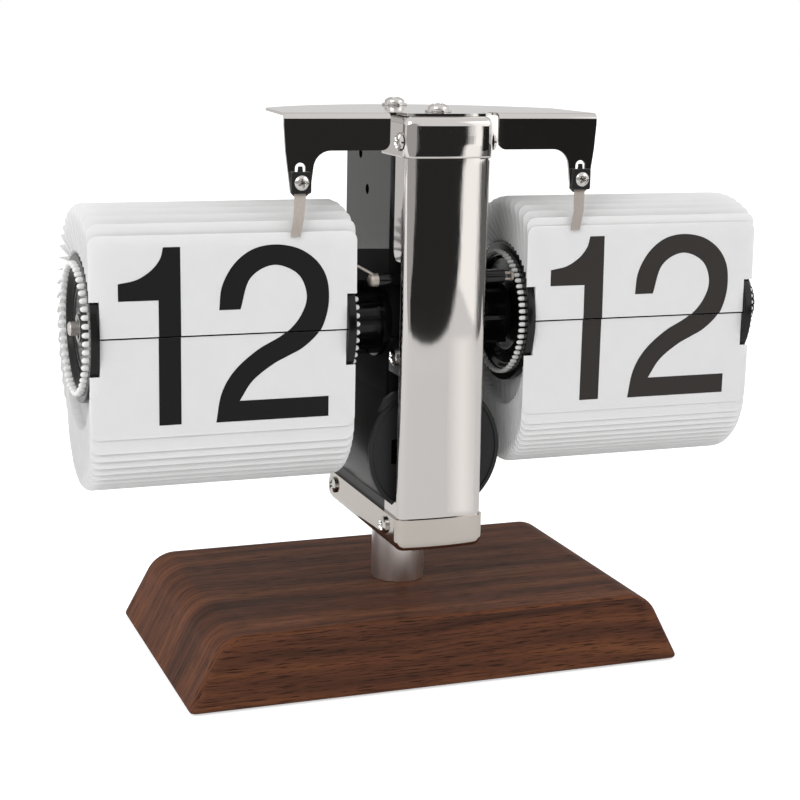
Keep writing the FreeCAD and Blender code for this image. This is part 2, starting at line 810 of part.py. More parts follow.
def make_case(side):
    """One half of the case, split at the middle plane."""
    body = case_outside().cut(case_hollow())
    if side < 0:
        half = body.common(block(-far, 0, -far, far, 0, far))
    else:
        half = body.common(block(0, far, -far, far, 0, far))
    return half.removeSplitter()


def make_case_screws():
    """Four long screws that clamp the two case halves."""
    screws = []
    seat = inner_half_width - case_screw_sink
    for y, z in case_screw_places():
        head = rod_x(case_screw_head, seat, seat + case_screw_head_height, y, z)
        screws.append(head.fuse(rod_x(case_screw_radius, -case_screw_end, seat, y, z)).removeSplitter())
    return Part.makeCompound(screws)


def make_battery_cap():
    """Front lid of the battery tube with a raised rim and a coin recess."""
    front = tube_front - battery_cap_thickness
    cap = rod_y(tube_radius, front, tube_front, 0, tube_z)
    cap = cap.cut(rod_y(tube_radius - battery_cap_rim, front - 1, front + battery_cap_sink, 0, tube_z))
    slot = block(battery_slot_x - battery_slot_half_width, battery_slot_x + battery_slot_half_width,
                 front - 1, front + 2 * battery_cap_sink, tube_z - battery_slot_half_height,
                 tube_z + battery_slot_half_height)
    return cap.cut(slot)


def make_battery_cover():
    """Rear lid of the battery tube: coin slot outside, spigot inside."""
    back = tube_back + battery_cover_thickness
    lid = rod_y(tube_radius, tube_back, back, 0, tube_z)
    lid = lid.makeChamfer(battery_cover_bevel,
                          [edge for edge in lid.Edges if edge.BoundBox.YMin > back - tiny])
    spigot = rod_y(tube_bore - battery_spigot_play, tube_back - battery_spigot_length, tube_back, 0, tube_z)
    spigot = spigot.cut(rod_y(tube_bore - battery_spigot_wall, 0, tube_back, 0, tube_z))
    lid = lid.fuse(spigot)
    slot = block(-coin_slot_half_width, coin_slot_half_width, back - coin_slot_depth, back + 1,
                 tube_z - coin_slot_half_height, tube_z + coin_slot_half_height)
    return lid.cut(slot).removeSplitter()


def make_dry_cell():
    """Single round cell lying front to back."""
    start = tube_front + contact_thickness
    nub_end = start + cell_nub
    body = rod_y(cell_radius, nub_end, nub_end + cell_length, 0, tube_z)
    return body.fuse(rod_y(cell_nub_radius, start, nub_end, 0, tube_z)).removeSplitter()


def make_contacts():
    """Flat front contact and the coiled rear one, drawn as a stepped cone."""
    flat = rod_y(contact_radius, tube_front, tube_front + contact_thickness, 0, tube_z)
    start = tube_front + contact_thickness + cell_nub + cell_length
    coil = Part.makeCone(spring_tip_radius, spring_root_radius, tube_back - start, Vector(0, start, tube_z),
                         Vector(0, 1, 0))
    coil = coil.cut(rod_y(spring_bore, start - 1, tube_back + 1, 0, tube_z))
    return Part.makeCompound([flat, coil])


def make_bushes():
    """Flanged brass bushes where the spindles leave the case."""
    bushes = []
    for side in (-1, 1):
        start, stop = sorted((side * inner_half_width, side * (inner_half_width - case_wall)))
        ring = rod_x(bush_radius, start, stop, axis_y, axis_z)
        bushes.append(ring.cut(rod_x(spindle_radius + running_clearance, -far, far, axis_y, axis_z)))
    return Part.makeCompound(bushes)


def make_side_bosses():
    """Ribbed cones between the case and the drums, around each spindle."""
    reach = drum_inner_x + disc_face_inset - boss_play - inner_half_width
    bore = bush_radius + boss_play
    throat = spindle_radius + boss_play
    bosses = []
    for side in (-1, 1):
        shell = turned([(0, bore), (0, boss_case_radius), (boss_wall, boss_case_radius),
                        (boss_wall, boss_disc_radius - boss_waist),
                        (reach - boss_wall, boss_disc_radius - 2 * boss_waist),
                        (reach - boss_wall, boss_disc_radius), (reach, boss_disc_radius), (reach, throat),
                        (reach - boss_wall, throat), (reach - boss_wall, bore)],
                       side, side * inner_half_width)
        ribs = []
        for number in range(boss_ribs):
            rib = block(boss_wall / 2, reach - boss_wall / 2, -boss_rib_half_width, boss_rib_half_width,
                        bush_radius + boss_waist, boss_case_radius - boss_rib_half_width)
            rib.rotate(Vector(0, 0, 0), Vector(1, 0, 0), 360.0 * number / boss_ribs)
            if side < 0:
                rib = rib.mirror(Vector(0, 0, 0), Vector(1, 0, 0))
            rib.translate(Vector(side * inner_half_width, axis_y, axis_z))
            ribs.append(rib)
        bosses.append(shell.fuse(ribs).removeSplitter())
    return Part.makeCompound(bosses)


def make_stays():
    """Three blocks that hold the column off the case front."""
    back = case_front
    front = front_corner_y + stay_front_gap
    side = inner_half_width - sheet - stay_play
    upper_z = cap_screw_z - stay_height / 2
    upper = block(-side, side, front, back, upper_z, upper_z + stay_height)
    middle = block(-side, side, front, back, middle_stay_z, middle_stay_z + stay_height)
    middle = middle.fuse(block(-inner_half_width, inner_half_width, column_edge_back + 2 * stay_play, back,
                               middle_stay_z, middle_stay_z + stay_height)).removeSplitter()
    lower = block(-side, side, front, case_foot_front, bracket_bottom + bracket_floor,
                  tube_z - tube_radius - foot_roof_gap)
    lower = lower.cut(side_hole(inner_half_width + sheet, bracket_screw_front_y,
                                bracket_bottom + bracket_screw_rise,
                                bracket_screw_reach))
    upper = upper.cut(rod_z(small_shank_radius + screw_clearance, upper_z - 1, far, 0, arm_screw_front_y))
    stays = Part.makeCompound([upper.cut(side_hole(inner_half_width + sheet, cap_screw_y, cap_screw_z,
                                                   cap_screw_reach)),
                               middle.cut(side_hole(inner_half_width, mid_screw_y(), mid_screw_z(),
                                                    stay_screw_reach)),
                               lower])
    return stays


def mid_screw_y():
    """Place of the screws half way up the column."""
    return column_flange_back


def mid_screw_z():
    """Height of those screws."""
    return middle_stay_z + stay_height / 2


def make_stay_screws():
    """Pan-head screws in the middle stay."""
    return Part.makeCompound([side_screw(side, inner_half_width, mid_screw_y(), mid_screw_z(),
                                         stay_screw_reach)
                              for side in (-1, 1)])


def gear_centres():
    """Axes of the arbors and the rotor in the YZ plane."""
    reach = gear_module * (pinion_teeth + hour_wheel_teeth) / 2
    dy, dz = polar(reach, motion_arbor_angle)
    motion = (axis_y + dy, axis_z + dz)
    dy, dz = polar(reach, drive_arbor_angle)
    drive = (axis_y + dy, axis_z + dz)
    dy, dz = polar(gear_module * (pinion_teeth + drive_wheel_teeth) / 2, rotor_angle)
    rotor = (drive[0] + dy, drive[1] + dz)
    return motion, drive, rotor


def make_bridge():
    """Brass plate that carries the inner ends of the arbors."""
    plate = block(bridge_x, bridge_x + bridge_thickness, case_front + case_wall, case_back - case_wall,
                  bridge_low_z, bridge_high_z)
    motion, drive, rotor = gear_centres()
    plate = plate.cut(rod_x(inner_spindle_radius + running_clearance, -far, far, axis_y, axis_z))
    for y, z in (motion, drive, rotor):
        plate = plate.cut(rod_x(arbor_radius + running_clearance, -far, far, y, z))
    return plate


def make_stator():
    """Iron plate round the rotor with a bar for the coil."""
    rotor = gear_centres()[2]
    plate = block(stator_x, stator_x + stator_thickness, case_front + case_wall, case_back - case_wall,
                  stator_low_z, stator_high_z)
    plate = plate.cut(rod_x(rotor_magnet_radius + magnet_gap, 0, far, rotor[0], rotor[1]))
    return plate.cut(block(0, far, stator_window_front, stator_window_back, stator_window_low_z,
                           stator_window_high_z))


def make_coil():
    """Copper winding on the stator's bar."""
    back_x = stator_x + stator_thickness
    coil = block(stator_x - coil_build, back_x + coil_build, stator_window_front + coil_margin,
                 stator_window_back - coil_margin, stator_window_high_z - coil_low_drop,
                 stator_high_z + coil_high_rise)
    coil = coil.makeFillet(coil_edge_radius,
                           [edge for edge in coil.Edges if edge.BoundBox.YLength > coil_margin])
    return coil.cut(block(stator_x, back_x, -far, far, stator_window_high_z, stator_high_z))


def make_board():
    """Circuit board upright against the left half of the case."""
    face = board_x + board_thickness
    board = block(board_x, face, case_front + case_wall, case_back - case_wall, board_low_z, board_high_z)
    chip = block(face, face + chip_height, chip_corner_y, chip_corner_y + chip_size, chip_corner_z,
                 chip_corner_z + chip_size)
    crystal = block(face, face + crystal_width, crystal_corner_y, crystal_corner_y + crystal_width,
                    crystal_corner_z, crystal_corner_z + crystal_length)
    return board.fuse([chip, crystal]).removeSplitter()


# ---------------------------------------------------------------- drums

def make_disc(side, near_x, outward):
    """Dished disc of a drum.

    near_x is the face towards the leaves, outward the direction of the dished face."""
    profile = [(0, spindle_radius), (0, disc_radius), (disc_thickness, disc_radius),
               (disc_thickness, dish_radius + dish_slope), (dish_floor, dish_radius),
               (dish_floor, disc_hub_radius + disc_hub_draw),
               (disc_hub_height, disc_hub_radius), (disc_hub_height, spindle_radius)]
    return turned(profile, outward, side * near_x)


def disc_near_outer():
    """Leaf-side face of an outer disc, as a distance from the middle of the clock."""
    return drum_outer_x - disc_face_inset - disc_thickness


def disc_near_inner():
    """Leaf-side face of an inner disc."""
    return drum_inner_x + disc_face_inset + disc_thickness


def make_core(side):
    """Tube between the two discs of a drum."""
    start, stop = sorted((side * disc_near_inner(), side * disc_near_outer()))
    tube = rod_x(core_radius, start, stop, axis_y, axis_z)
    return tube.cut(rod_x(spindle_radius, start - 1, stop + 1, axis_y, axis_z))


def make_pins(side, count, radius):
    """White hinge ends of the leaves, standing out of both discs."""
    outer = drum_outer_x - disc_face_inset
    inner = drum_inner_x + disc_face_inset
    pins = []
    for start, length in ((outer, pin_length), (inner - inner_pin_share * pin_length,
                                                inner_pin_share * pin_length)):
        for number in range(count):
            dy, dz = polar(ring_radius, 360.0 * (number + 0.5) / count)
            points = []
            for corner in range(4):
                cy, cz = polar(radius, 90 * corner + 360.0 * (number + 0.5) / count)
                points.append(Vector(start, axis_y + dy + cy, axis_z + dz + cz))
            pin = prism(points, Vector(length, 0, 0))
            if side < 0:
                pin = pin.mirror(Vector(0, 0, 0), Vector(1, 0, 0))
            pins.append(pin)
    return Part.makeCompound(pins)


def make_collar():
    """Retaining ring on the outer end of the hour spindle."""
    start = -(disc_near_outer() + disc_hub_height)
    ring = rod_x(collar_radius, start - collar_thickness, start, axis_y, axis_z)
    return ring.cut(rod_x(spindle_radius, start - 5, start + 5, axis_y, axis_z))


def make_hour_spindle():
    """Steel spindle of the left drum, bored at its inner end for the minute spindle's nose."""
    shaft = rod_x(spindle_radius, -spindle_end_x, hour_spindle_end_x, axis_y, axis_z)
    rim = [edge for edge in shaft.Edges if edge.Closed and edge.BoundBox.XMax < -spindle_end_x + tiny]
    shaft = shaft.makeChamfer(spindle_bevel, rim)
    return shaft.cut(rod_x(inner_spindle_radius + running_clearance,
                           hour_spindle_end_x - spindle_bore_depth, 0,
                           axis_y, axis_z))


def make_minute_spindle():
    """Steel spindle of the right drum, stepped down inside the case."""
    shaft = rod_x(spindle_radius, minute_spindle_step_x, knob_bore_end(), axis_y, axis_z)
    nose = hour_spindle_end_x - spindle_bore_depth + counterbore_play
    return shaft.fuse(rod_x(inner_spindle_radius, nose, minute_spindle_step_x, axis_y,
                            axis_z)).removeSplitter()


def make_setting_wheel():
    """Small fluted finger wheel on the right-hand end, for setting the time."""
    grip_start = drum_outer_x - disc_face_inset + pin_length + knob_gap
    grip = rod_x(knob_radius, grip_start, knob_end_x, axis_y, axis_z)
    rims = [edge for edge in grip.Edges if edge.BoundBox.XLength < tiny]
    grip = grip.makeChamfer(knob_bevel, rims)
    for number in range(knob_flutes):
        dy, dz = polar(knob_radius + knob_flute_lift * knob_flute_radius, 360.0 * number / knob_flutes)
        grip = grip.cut(rod_x(knob_flute_radius, grip_start - 1, knob_end_x + 1, axis_y + dy, axis_z + dz))
    hub = rod_x(disc_hub_radius, disc_near_outer() + disc_hub_height, grip_start, axis_y, axis_z)
    knob = grip.fuse(hub).removeSplitter()
    return knob.cut(rod_x(spindle_radius, disc_near_outer(), knob_bore_end(), axis_y, axis_z))


def knob_bore_end():
    """Blind end of the knob's bore, where the minute spindle stops."""
    return knob_end_x - knob_wall


def leaf(side, hinge_y, hinge_z, lean, start, rounded):
    """One leaf: notched at its hinge corners, standing at lean degrees from upright.

    start is where its lower edge lies, measured from the hinge line."""
    lean = math.radians(lean)
    along = Vector(0, math.sin(lean), math.cos(lean))
    normal = Vector(0, math.cos(lean), -math.sin(lean))
    hinge = Vector(0, axis_y + hinge_y, axis_z + hinge_z) - normal * (leaf_thickness / 2)
    x0, x1 = sorted((side * drum_inner_x, side * drum_outer_x))
    n0 = x0 + leaf_notch_width
    n1 = x1 - leaf_notch_width
    top = leaf_height
    cut = leaf_corner
    outline = [(n0, start), (n1, start), (n1, leaf_notch_height), (x1, leaf_notch_height), (x1, top - cut),
               (x1 - cut, top), (x0 + cut, top), (x0, top - cut), (x0, leaf_notch_height),
               (n0, leaf_notch_height)]
    if not rounded:
        return prism([Vector(x, 0, 0) + hinge + along * s for x, s in outline], normal * leaf_thickness)
    outline[4:8] = [(x1, top), (x0, top)]
    plate = prism([Vector(x, 0, 0) + hinge + along * s for x, s in outline], normal * leaf_thickness)
    corners = []
    for edge in plate.Edges:
        middle = (edge.Vertexes[0].Point + edge.Vertexes[1].Point) * 0.5 - hinge
        if abs(edge.Length - leaf_thickness) < tiny and middle.dot(along) > top - leaf_thickness:
            corners.append(edge)
    return plate.makeFillet(cut, corners)


def leaf_stack(side, count, upper):
    """All leaves but the falling one, each resting where gravity leaves it.

    Round the top they lie a little flatter than the tangent; lower down they hang straight."""
    step = 360.0 / count
    leaves = []
    for number in range(1, count - 1):
        place = step * (number + 0.5)
        if (place < 180.0) != upper:
            continue
        dy, dz = polar(ring_radius, 180.0 - place)
        lean = min(max(place - lift_angle, 0.0), 180.0)
        leaves.append(leaf(side, dy, dz, lean, -leaf_tail, False))
    if not upper:
        leaves.append(leaf(side, -ring_radius, 0.0, 180.0, leaf_split_gap, True))
    return Part.makeCompound(leaves)


def make_falling_leaf(side):
    """The shown upper leaf, which drops over its hinge line."""
    return leaf(side, -ring_radius - front_leaf_offset, 0.0, front_leaf_lean, leaf_split_gap, True)


# ---------------------------------------------------------------- index bar

def make_index_bar():
    """Black cross bar behind the column that carries the drum detents."""
    bar = rod_x(index_radius, index_left_x, index_right_x, index_y, index_z)
    lug = block(-index_lug_half, index_lug_half, index_y, case_front, index_z - index_lug_half,
                index_z + index_lug_half)
    return bar.fuse(lug).removeSplitter()


def make_index_tips():
    """Detents: a domed cap and a spring finger on the left, a button on two pins on the right."""
    cap = rod_x(index_cap_radius, index_left_x - index_cap_length, index_left_x, index_y, index_z)
    rim = [edge for edge in cap.Edges if edge.BoundBox.XMax < index_left_x - index_cap_length + tiny]
    cap = cap.makeFillet(index_cap_radius * index_dome_share, rim)
    root = Vector(index_left_x - index_spring_root * index_cap_length, index_y,
                  index_z + index_cap_radius - index_pin_radius)
    run = Vector(-index_spring_run, 0, index_spring_rise)
    spring = Part.makeCylinder(index_pin_radius, run.Length, root, run)
    button_x = index_right_x + index_pin_length
    button = rod_x(index_button_radius, button_x, button_x + index_button_thickness, index_y, index_z)
    pins = [rod_x(index_pin_radius, index_right_x, button_x, index_y, index_z + side * index_pin_spread)
            for side in (-1, 1)]
    return Part.makeCompound([cap.fuse(spring), button.fuse(pins).removeSplitter()])


# ---------------------------------------------------------------- gear train

def train():
    """All wheels and pinions, with teeth in mesh at rest."""
    motion, drive, rotor = gear_centres()
    half_tooth = math.pi / pinion_teeth
    motion_line = math.radians(motion_arbor_angle)
    drive_line = math.radians(drive_arbor_angle)
    rotor_line = math.radians(rotor_angle)
    reach = gear_module * (pinion_teeth + hour_wheel_teeth) / 2
    motion_module = 2 * reach / (pinion_teeth + motion_wheel_teeth)
    right_wall = arbor_reach()
    left_wall = -right_wall
    pieces = {}
    pieces["hour_wheel"] = gear(hour_wheel_teeth, gear_module, hour_wheel_x, hour_wheel_x + gear_thickness,
                                axis_y, axis_z, spindle_radius, motion_line)
    pieces["cannon_pinion"] = gear(pinion_teeth, motion_module, cannon_pinion_x,
                                   cannon_pinion_x + pinion_thickness,
                                   axis_y, axis_z, inner_spindle_radius, motion_line)
    motion_shaft = rod_x(arbor_radius, left_wall, bridge_x + bridge_thickness, motion[0], motion[1])
    motion_pinion = gear(pinion_teeth, gear_module, motion_pinion_x, motion_pinion_x + pinion_thickness,
                         motion[0],
                         motion[1], 0, motion_line + math.pi + half_tooth)
    pieces["motion_arbor"] = motion_shaft.fuse(motion_pinion).removeSplitter()
    pieces["motion_wheel"] = gear(motion_wheel_teeth, motion_module, motion_wheel_x,
                                  motion_wheel_x + gear_thickness, motion[0], motion[1], arbor_radius,
                                  motion_line + math.pi + math.pi / motion_wheel_teeth)
    pieces["minute_wheel"] = gear(minute_wheel_teeth, gear_module, minute_wheel_x,
                                  minute_wheel_x + gear_thickness,
                                  axis_y, axis_z, inner_spindle_radius, drive_line)
    drive_shaft = rod_x(arbor_radius, bridge_x, right_wall, drive[0], drive[1])
    drive_pinion = gear(pinion_teeth, gear_module, drive_pinion_x, drive_pinion_x + pinion_thickness,
                        drive[0], drive[1],
                        0, drive_line + math.pi + half_tooth)
    pieces["drive_arbor"] = drive_shaft.fuse(drive_pinion).removeSplitter()
    pieces["drive_wheel"] = gear(drive_wheel_teeth, gear_module, drive_wheel_x,
                                 drive_wheel_x + gear_thickness,
                                 drive[0], drive[1], arbor_radius, rotor_line)
    rotor_shaft = rod_x(arbor_radius, bridge_x, right_wall, rotor[0], rotor[1])
    rotor_pinion = gear(pinion_teeth, gear_module, rotor_pinion_x, rotor_pinion_x + pinion_thickness,
                        rotor[0], rotor[1],
                        0, rotor_line + math.pi + half_tooth)
    pieces["rotor"] = rotor_shaft.fuse(rotor_pinion).removeSplitter()
    magnet = rod_x(rotor_magnet_radius, rotor_magnet_x, rotor_magnet_x + rotor_magnet_length, rotor[0],
                   rotor[1])
    pieces["rotor_magnet"] = magnet.cut(rod_x(arbor_radius, 0, far, rotor[0], rotor[1]))
    return pieces


# ---------------------------------------------------------------- build

def build():
    """Make every piece and return it by node name."""
    pieces = {
        "base_block": make_base(),
        "base_pad": make_pad(),
        "base_washer": make_base_washer(),
        "base_screw": make_base_screw(),
        "post": make_post(),
        "lower_bracket": make_bracket(),
        "bracket_screws": make_bracket_screws(),
        "case_left": make_case(-1),
        "case_right": make_case(1),
        "case_screws": make_case_screws(),
        "bearing_bushes": make_bushes(),
        "side_bosses": make_side_bosses(),
        "bridge_plate": make_bridge(),
        "stator": make_stator(),
        "coil": make_coil(),
        "circuit_board": make_board(),
        "battery_contacts": make_contacts(),
        "dry_cell": make_dry_cell(),
        "battery_cap": make_battery_cap(),
        "battery_cover": make_battery_cover(),
        "column_cover": make_column(),
        "column_stays": make_stays(),
        "stay_screws": make_stay_screws(),
        "top_cap": make_cap(),
        "cap_screws": make_cap_screws(),
        "arm_plate": make_arm_plate(),
        "arm_screws": make_arm_screws(),
        "arm_washers": make_arm_washers(),
        "catch_fingers": finger_screw_hole(make_fingers()),
        "finger_clamps": finger_screw_hole(make_finger_clamps()),
        "finger_screws": make_finger_screws(),
        "index_bar": make_index_bar(),
        "index_tips": make_index_tips(),
        "hour_spindle": make_hour_spindle(),
        "hour_collar": make_collar(),
        "minute_spindle": make_minute_spindle(),
        "setting_wheel": make_setting_wheel(),
    }
    for name, side, count, pin in (("hour", -1, hour_leaves, hour_pin_radius),
                                   ("minute", 1, minute_leaves, minute_pin_radius)):
        pieces[name + "_disc_outer"] = make_disc(side, disc_near_outer(), side)
        pieces[name + "_disc_inner"] = make_disc(side, disc_near_inner(), -side)
        pieces[name + "_core"] = make_core(side)
        pieces[name + "_pins"] = make_pins(side, count, pin)
        pieces[name + "_leaves_upper"] = leaf_stack(side, count, True)
        pieces[name + "_leaves_lower"] = leaf_stack(side, count, False)
        pieces[name + "_falling_leaf"] = make_falling_leaf(side)
    pieces.update(train())
    return pieces


os.makedirs("parts", exist_ok=True)
for node, shape in build().items():
    shape.exportStep("parts/" + node + ".step")
    print(node, len(shape.Solids), "solids", round(shape.Volume, 1), "mm3",
          "valid" if shape.isValid() else "INVALID")
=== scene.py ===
import json
import math

import bmesh
import bpy
import numpy as np
from mathutils import Matrix, Vector


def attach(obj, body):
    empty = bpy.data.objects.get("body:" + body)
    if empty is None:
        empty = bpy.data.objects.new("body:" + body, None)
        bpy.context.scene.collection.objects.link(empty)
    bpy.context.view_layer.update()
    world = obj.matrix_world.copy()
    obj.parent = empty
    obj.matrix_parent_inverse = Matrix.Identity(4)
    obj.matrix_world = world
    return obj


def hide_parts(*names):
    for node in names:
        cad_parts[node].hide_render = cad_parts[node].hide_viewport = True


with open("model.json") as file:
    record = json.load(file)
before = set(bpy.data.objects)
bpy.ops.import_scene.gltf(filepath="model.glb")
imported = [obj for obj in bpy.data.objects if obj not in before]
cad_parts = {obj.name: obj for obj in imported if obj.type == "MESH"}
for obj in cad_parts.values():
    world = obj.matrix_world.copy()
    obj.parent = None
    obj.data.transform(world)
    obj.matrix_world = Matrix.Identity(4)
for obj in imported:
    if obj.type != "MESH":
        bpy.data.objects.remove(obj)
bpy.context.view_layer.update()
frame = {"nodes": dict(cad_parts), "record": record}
cadNode = frame["nodes"]
mm = 0.001  # everything below is worked out in millimetres
print("frame loaded:", len(cadNode), "nodes")


def setAll(thing, **settings):
    # gives a thing its named settings and hands it back
    for key, value in settings.items():
        setattr(thing, key, value)
    return thing


def feed(tree, node, inputs):
    # inputs maps a socket's name or number to a value, or to the socket that drives it
    for key, value in inputs.items():
        if isinstance(value, bpy.types.NodeSocket):
            tree.links.new(value, node.inputs[key])
        else:
            node.inputs[key].default_value = value
    return node


def newNode(tree, kind, inputs, **settings):
    return feed(tree, setAll(tree.nodes.new(kind), **settings), inputs)


class Finish:
    # one node material being put together; its methods hand back sockets

    def __init__(self, name, color, roughness, metallic=0.0, specular=0.5):
        self.material = bpy.data.materials.new(name)
        self.material.use_nodes = True
        self.material.diffuse_color = (*color, 1.0)
        self.tree = self.material.node_tree
        self.roughness = roughness
        self.set({"Base Color": (*color, 1.0), "Roughness": roughness, "Metallic": metallic,
                  "Specular IOR Level": specular})

    def set(self, inputs):
        feed(self.tree, self.tree.nodes["Principled BSDF"], inputs)

    def node(self, kind, inputs=None, **settings):
        return newNode(self.tree, kind, inputs or {}, **settings)

    def place(self, stretch=(1, 1, 1), uvMap=None):
        # object coordinates, or a UV map, through a mapping
        if uvMap:
            source = self.node("ShaderNodeUVMap", uv_map=uvMap).outputs["UV"]
        else:
            source = self.node("ShaderNodeTexCoord").outputs["Object"]
        return self.node("ShaderNodeMapping", {"Scale": stretch, "Vector": source}).outputs["Vector"]

    def noise(self, scale, detail=3.0, rough=0.5, warp=0.0, stretch=(1, 1, 1), uvMap=None, at=None):
        # scale counts per unit of its coordinates; at is a vector already placed
        at = self.place(stretch, uvMap) if at is None else at
        inputs = {"Scale": scale, "Detail": detail, "Roughness": rough, "Distortion": warp, "Vector": at}
        return self.node("ShaderNodeTexNoise", inputs).outputs["Fac"]

    def spread(self, source, low, high, fromLow=0.3, fromHigh=0.7):
        # straight line from low at fromLow to high at fromHigh, held level outside them
        inputs = {"Value": source, "From Min": fromLow, "From Max": fromHigh, "To Min": low, "To Max": high}
        return self.node("ShaderNodeMapRange", inputs, clamp=True).outputs["Result"]

    def ramp(self, source, stops):
        made = self.node("ShaderNodeValToRGB", {"Fac": source})
        band = made.color_ramp.elements
        while len(band) < len(stops):
            band.new(0.5)
        for element, (at, color) in zip(band, stops):
            setAll(element, position=at, color=(*color, 1.0))
        return made.outputs["Color"]

    def mix(self, amount, first, second):
        # first and second are colours or the sockets of colours
        first, second = ((*side, 1.0) if isinstance(side, tuple) else side for side in (first, second))
        return self.node("ShaderNodeMix", {0: amount, 6: first, 7: second}, data_type="RGBA").outputs[2]

    def wander(self, source, less, more):
        # the roughness swings about its value with a noise
        self.set({"Roughness": self.spread(source, self.roughness - less, self.roughness + more)})

    def bump(self, height, strength, distance, under=None):
        made = self.node("ShaderNodeBump", {"Height": height, "Strength": strength, "Distance": distance})
        if under:
            self.tree.links.new(under, made.inputs["Normal"])
        self.set({"Normal": made.outputs["Normal"]})
        return made.outputs["Normal"]


def lin(r, g, b):
    # screen colour, 0-255, to the linear value a shader takes
    values = np.array([r, g, b]) / 255
    return tuple(np.where(values < 0.04045, values / 12.92, ((values + 0.055) / 1.055) ** 2.4))


def scaled(color, share):
    # a colour made darker or lighter, no channel above one
    return tuple(min(share * c, 1.0) for c in color)


# moulded looks: tones and noise (scale, detail, roughness, warp) of a mottle in the colour, noise and
# reach of the wandering gloss, scale of the tooth, and how much light passes in and how far
plain = {"cloud": (2600 / 14, 4), "wander": (0.025, 0.05), "tooth": 2600}
mould = {"tones": (0.8, 1.2), "mottle": (55, 4, 0.5, 0.6), "cloud": (190, 3), "wander": (0.04, 0.07),
         "tooth": 3200}
card = {"tones": (0.975, 1.0), "mottle": (120, 4), "cloud": (420, 3), "wander": (0.04, 0.05),
        "tooth": 2400, "glow": 0.35, "glowReach": 0.0012}
toothHeight = 0.00003  # in metres


def mouldedFinish(name, color, roughness, look, depth=0.12, specular=0.5, metallic=0.0):
    # a mottle between two tones of the colour, a gloss that wanders and a fine tooth
    made = Finish(name, color, roughness, metallic, specular)
    if "tones" in look:
        mottle = made.spread(made.noise(*look["mottle"]), 0.0, 1.0)
        dark, light = (scaled(color, share) for share in look["tones"])
        made.set({"Base Color": made.mix(mottle, dark, light)})
    if "glow" in look:
        made.set({"Subsurface Weight": look["glow"], "Subsurface Radius": (1.0, 1.0, 1.0),
                  "Subsurface Scale": look["glowReach"]})
    made.wander(made.noise(*look["cloud"]), *look["wander"])
    made.bump(made.noise(look["tooth"], 2), depth, toothHeight)
    return made.material


walnut = {
    "dark": lin(56, 37, 29),
    "middle": lin(84, 52, 38),
    "red": lin(101, 62, 42),
    "light": lin(118, 78, 55),
    "stops": (0.32, 0.44, 0.56, 0.72),       # where in the streaks' noise the four colours stand
    "streakPitch": 9.0,                      # pitches are millimetres between lines
    "grainPitch": 1.25,
    "porePitch": 0.42,
    "swirlPitch": 75,
    "stretch": 1 / 22,                       # the grain is drawn out this much along the board
    "poreStretch": 1 / 19,
    "swirlStretch": (1.0, 1.6, 1),
    "wander": 9.0,                           # how far the lines stray sideways, in millimetres
    "grainSpread": (0.0, 0.75, 0.48, 0.30),  # least and most darkening and the noise at each
    "poreSpread": (0.0, 0.95, 0.47, 0.33),
    "poreShade": 0.45,
    "grainBump": (0.22, 0.00008),            # strength, and height in metres
    "poreBump": (0.35, 0.00006),
    "sheen": 0.52,
    "sheenSpread": (0.62, 0.48),
    "specular": 0.06,
}


def walnutFinish():
    # broad dark streaks, finer grain lines and short pores, all drawn out along the board's length
    w, uvMap = walnut, "grain"
    made = Finish("walnutOiled", w["middle"], w["sheen"], specular=w["specular"])
    swirl = made.noise(1 / w["swirlPitch"], 2, 0.45, 0, w["swirlStretch"], uvMap)
    wood = made.place((w["stretch"], 1, 1), uvMap)
    shifted = made.node("ShaderNodeVectorMath", {0: swirl, 1: (0.0, w["wander"], 0.0), 2: wood},
                        operation="MULTIPLY_ADD").outputs[0]
    streaks = made.noise(1 / w["streakPitch"], 3, 0.55, at=shifted)
    fine = made.noise(1 / w["grainPitch"], 4, 0.65, at=shifted)
    pores = made.noise(1 / w["porePitch"], 2, 0.6, 0, (w["poreStretch"], 1, 1), uvMap)
    shades = [w[shade] for shade in ("dark", "middle", "red", "light")]
    tone = made.ramp(streaks, list(zip(w["stops"], shades)))
    lined = made.mix(made.spread(fine, *w["grainSpread"]), tone, w["dark"])
    pored = made.mix(made.spread(pores, *w["poreSpread"]), lined, scaled(w["dark"], w["poreShade"]))
    made.set({"Base Color": pored, "Roughness": made.spread(fine, *w["sheenSpread"])})
    made.bump(pores, *w["poreBump"], made.bump(fine, *w["grainBump"]))
    return made.material


# noise scales are per metre, the line height is in metres
metal = {"cloudScale": 70, "mirrorWander": (0.0, 0.025), "buffScale": 5200, "buffStretch": (1, 1, 0.012),
         "buffDepth": 0.16, "lineScale": 4200, "lineTones": (0.86, 1.08), "brushedWander": (0.05, 0.1),
         "lineHeight": 0.00002}


def mirrorFinish(name, color, roughness):
    # polished sheet: very fine upright buffing lines and a slow wander of the roughness
    made = Finish(name, color, roughness, 1.0)
    made.wander(made.noise(metal["cloudScale"], 3), *metal["mirrorWander"])
    lines = made.noise(metal["buffScale"], 2, stretch=metal["buffStretch"])
    made.bump(lines, metal["buffDepth"], metal["lineHeight"])
    return made.material


def brushedFinish(name, color, roughness, stretch, depth=0.22):
    # fine lines drawn out along one direction, in colour, roughness and height
    made = Finish(name, color, roughness, 1.0)
    lines = made.noise(metal["lineScale"], 3, 0.6, stretch=stretch)
    dark, light = (scaled(color, share) for share in metal["lineTones"])
    made.set({"Base Color": made.mix(made.spread(lines, 0.0, 1.0), dark, light)})
    made.wander(lines, *metal["brushedWander"])
    made.bump(lines, depth, metal["lineHeight"])
    return made.material


# lower zone of the case: its colour, darker than the glossy case above, is painted shade from the drums
caseLowerShaded = {"color": lin(9, 9, 10), "gloss": 0.3, "matt": 0.85, "glossBelow": 0.068, "mattAbove": 0.090,
             "specular": 0.14, "toothScale": 3000, "toothDepth": 0.2}


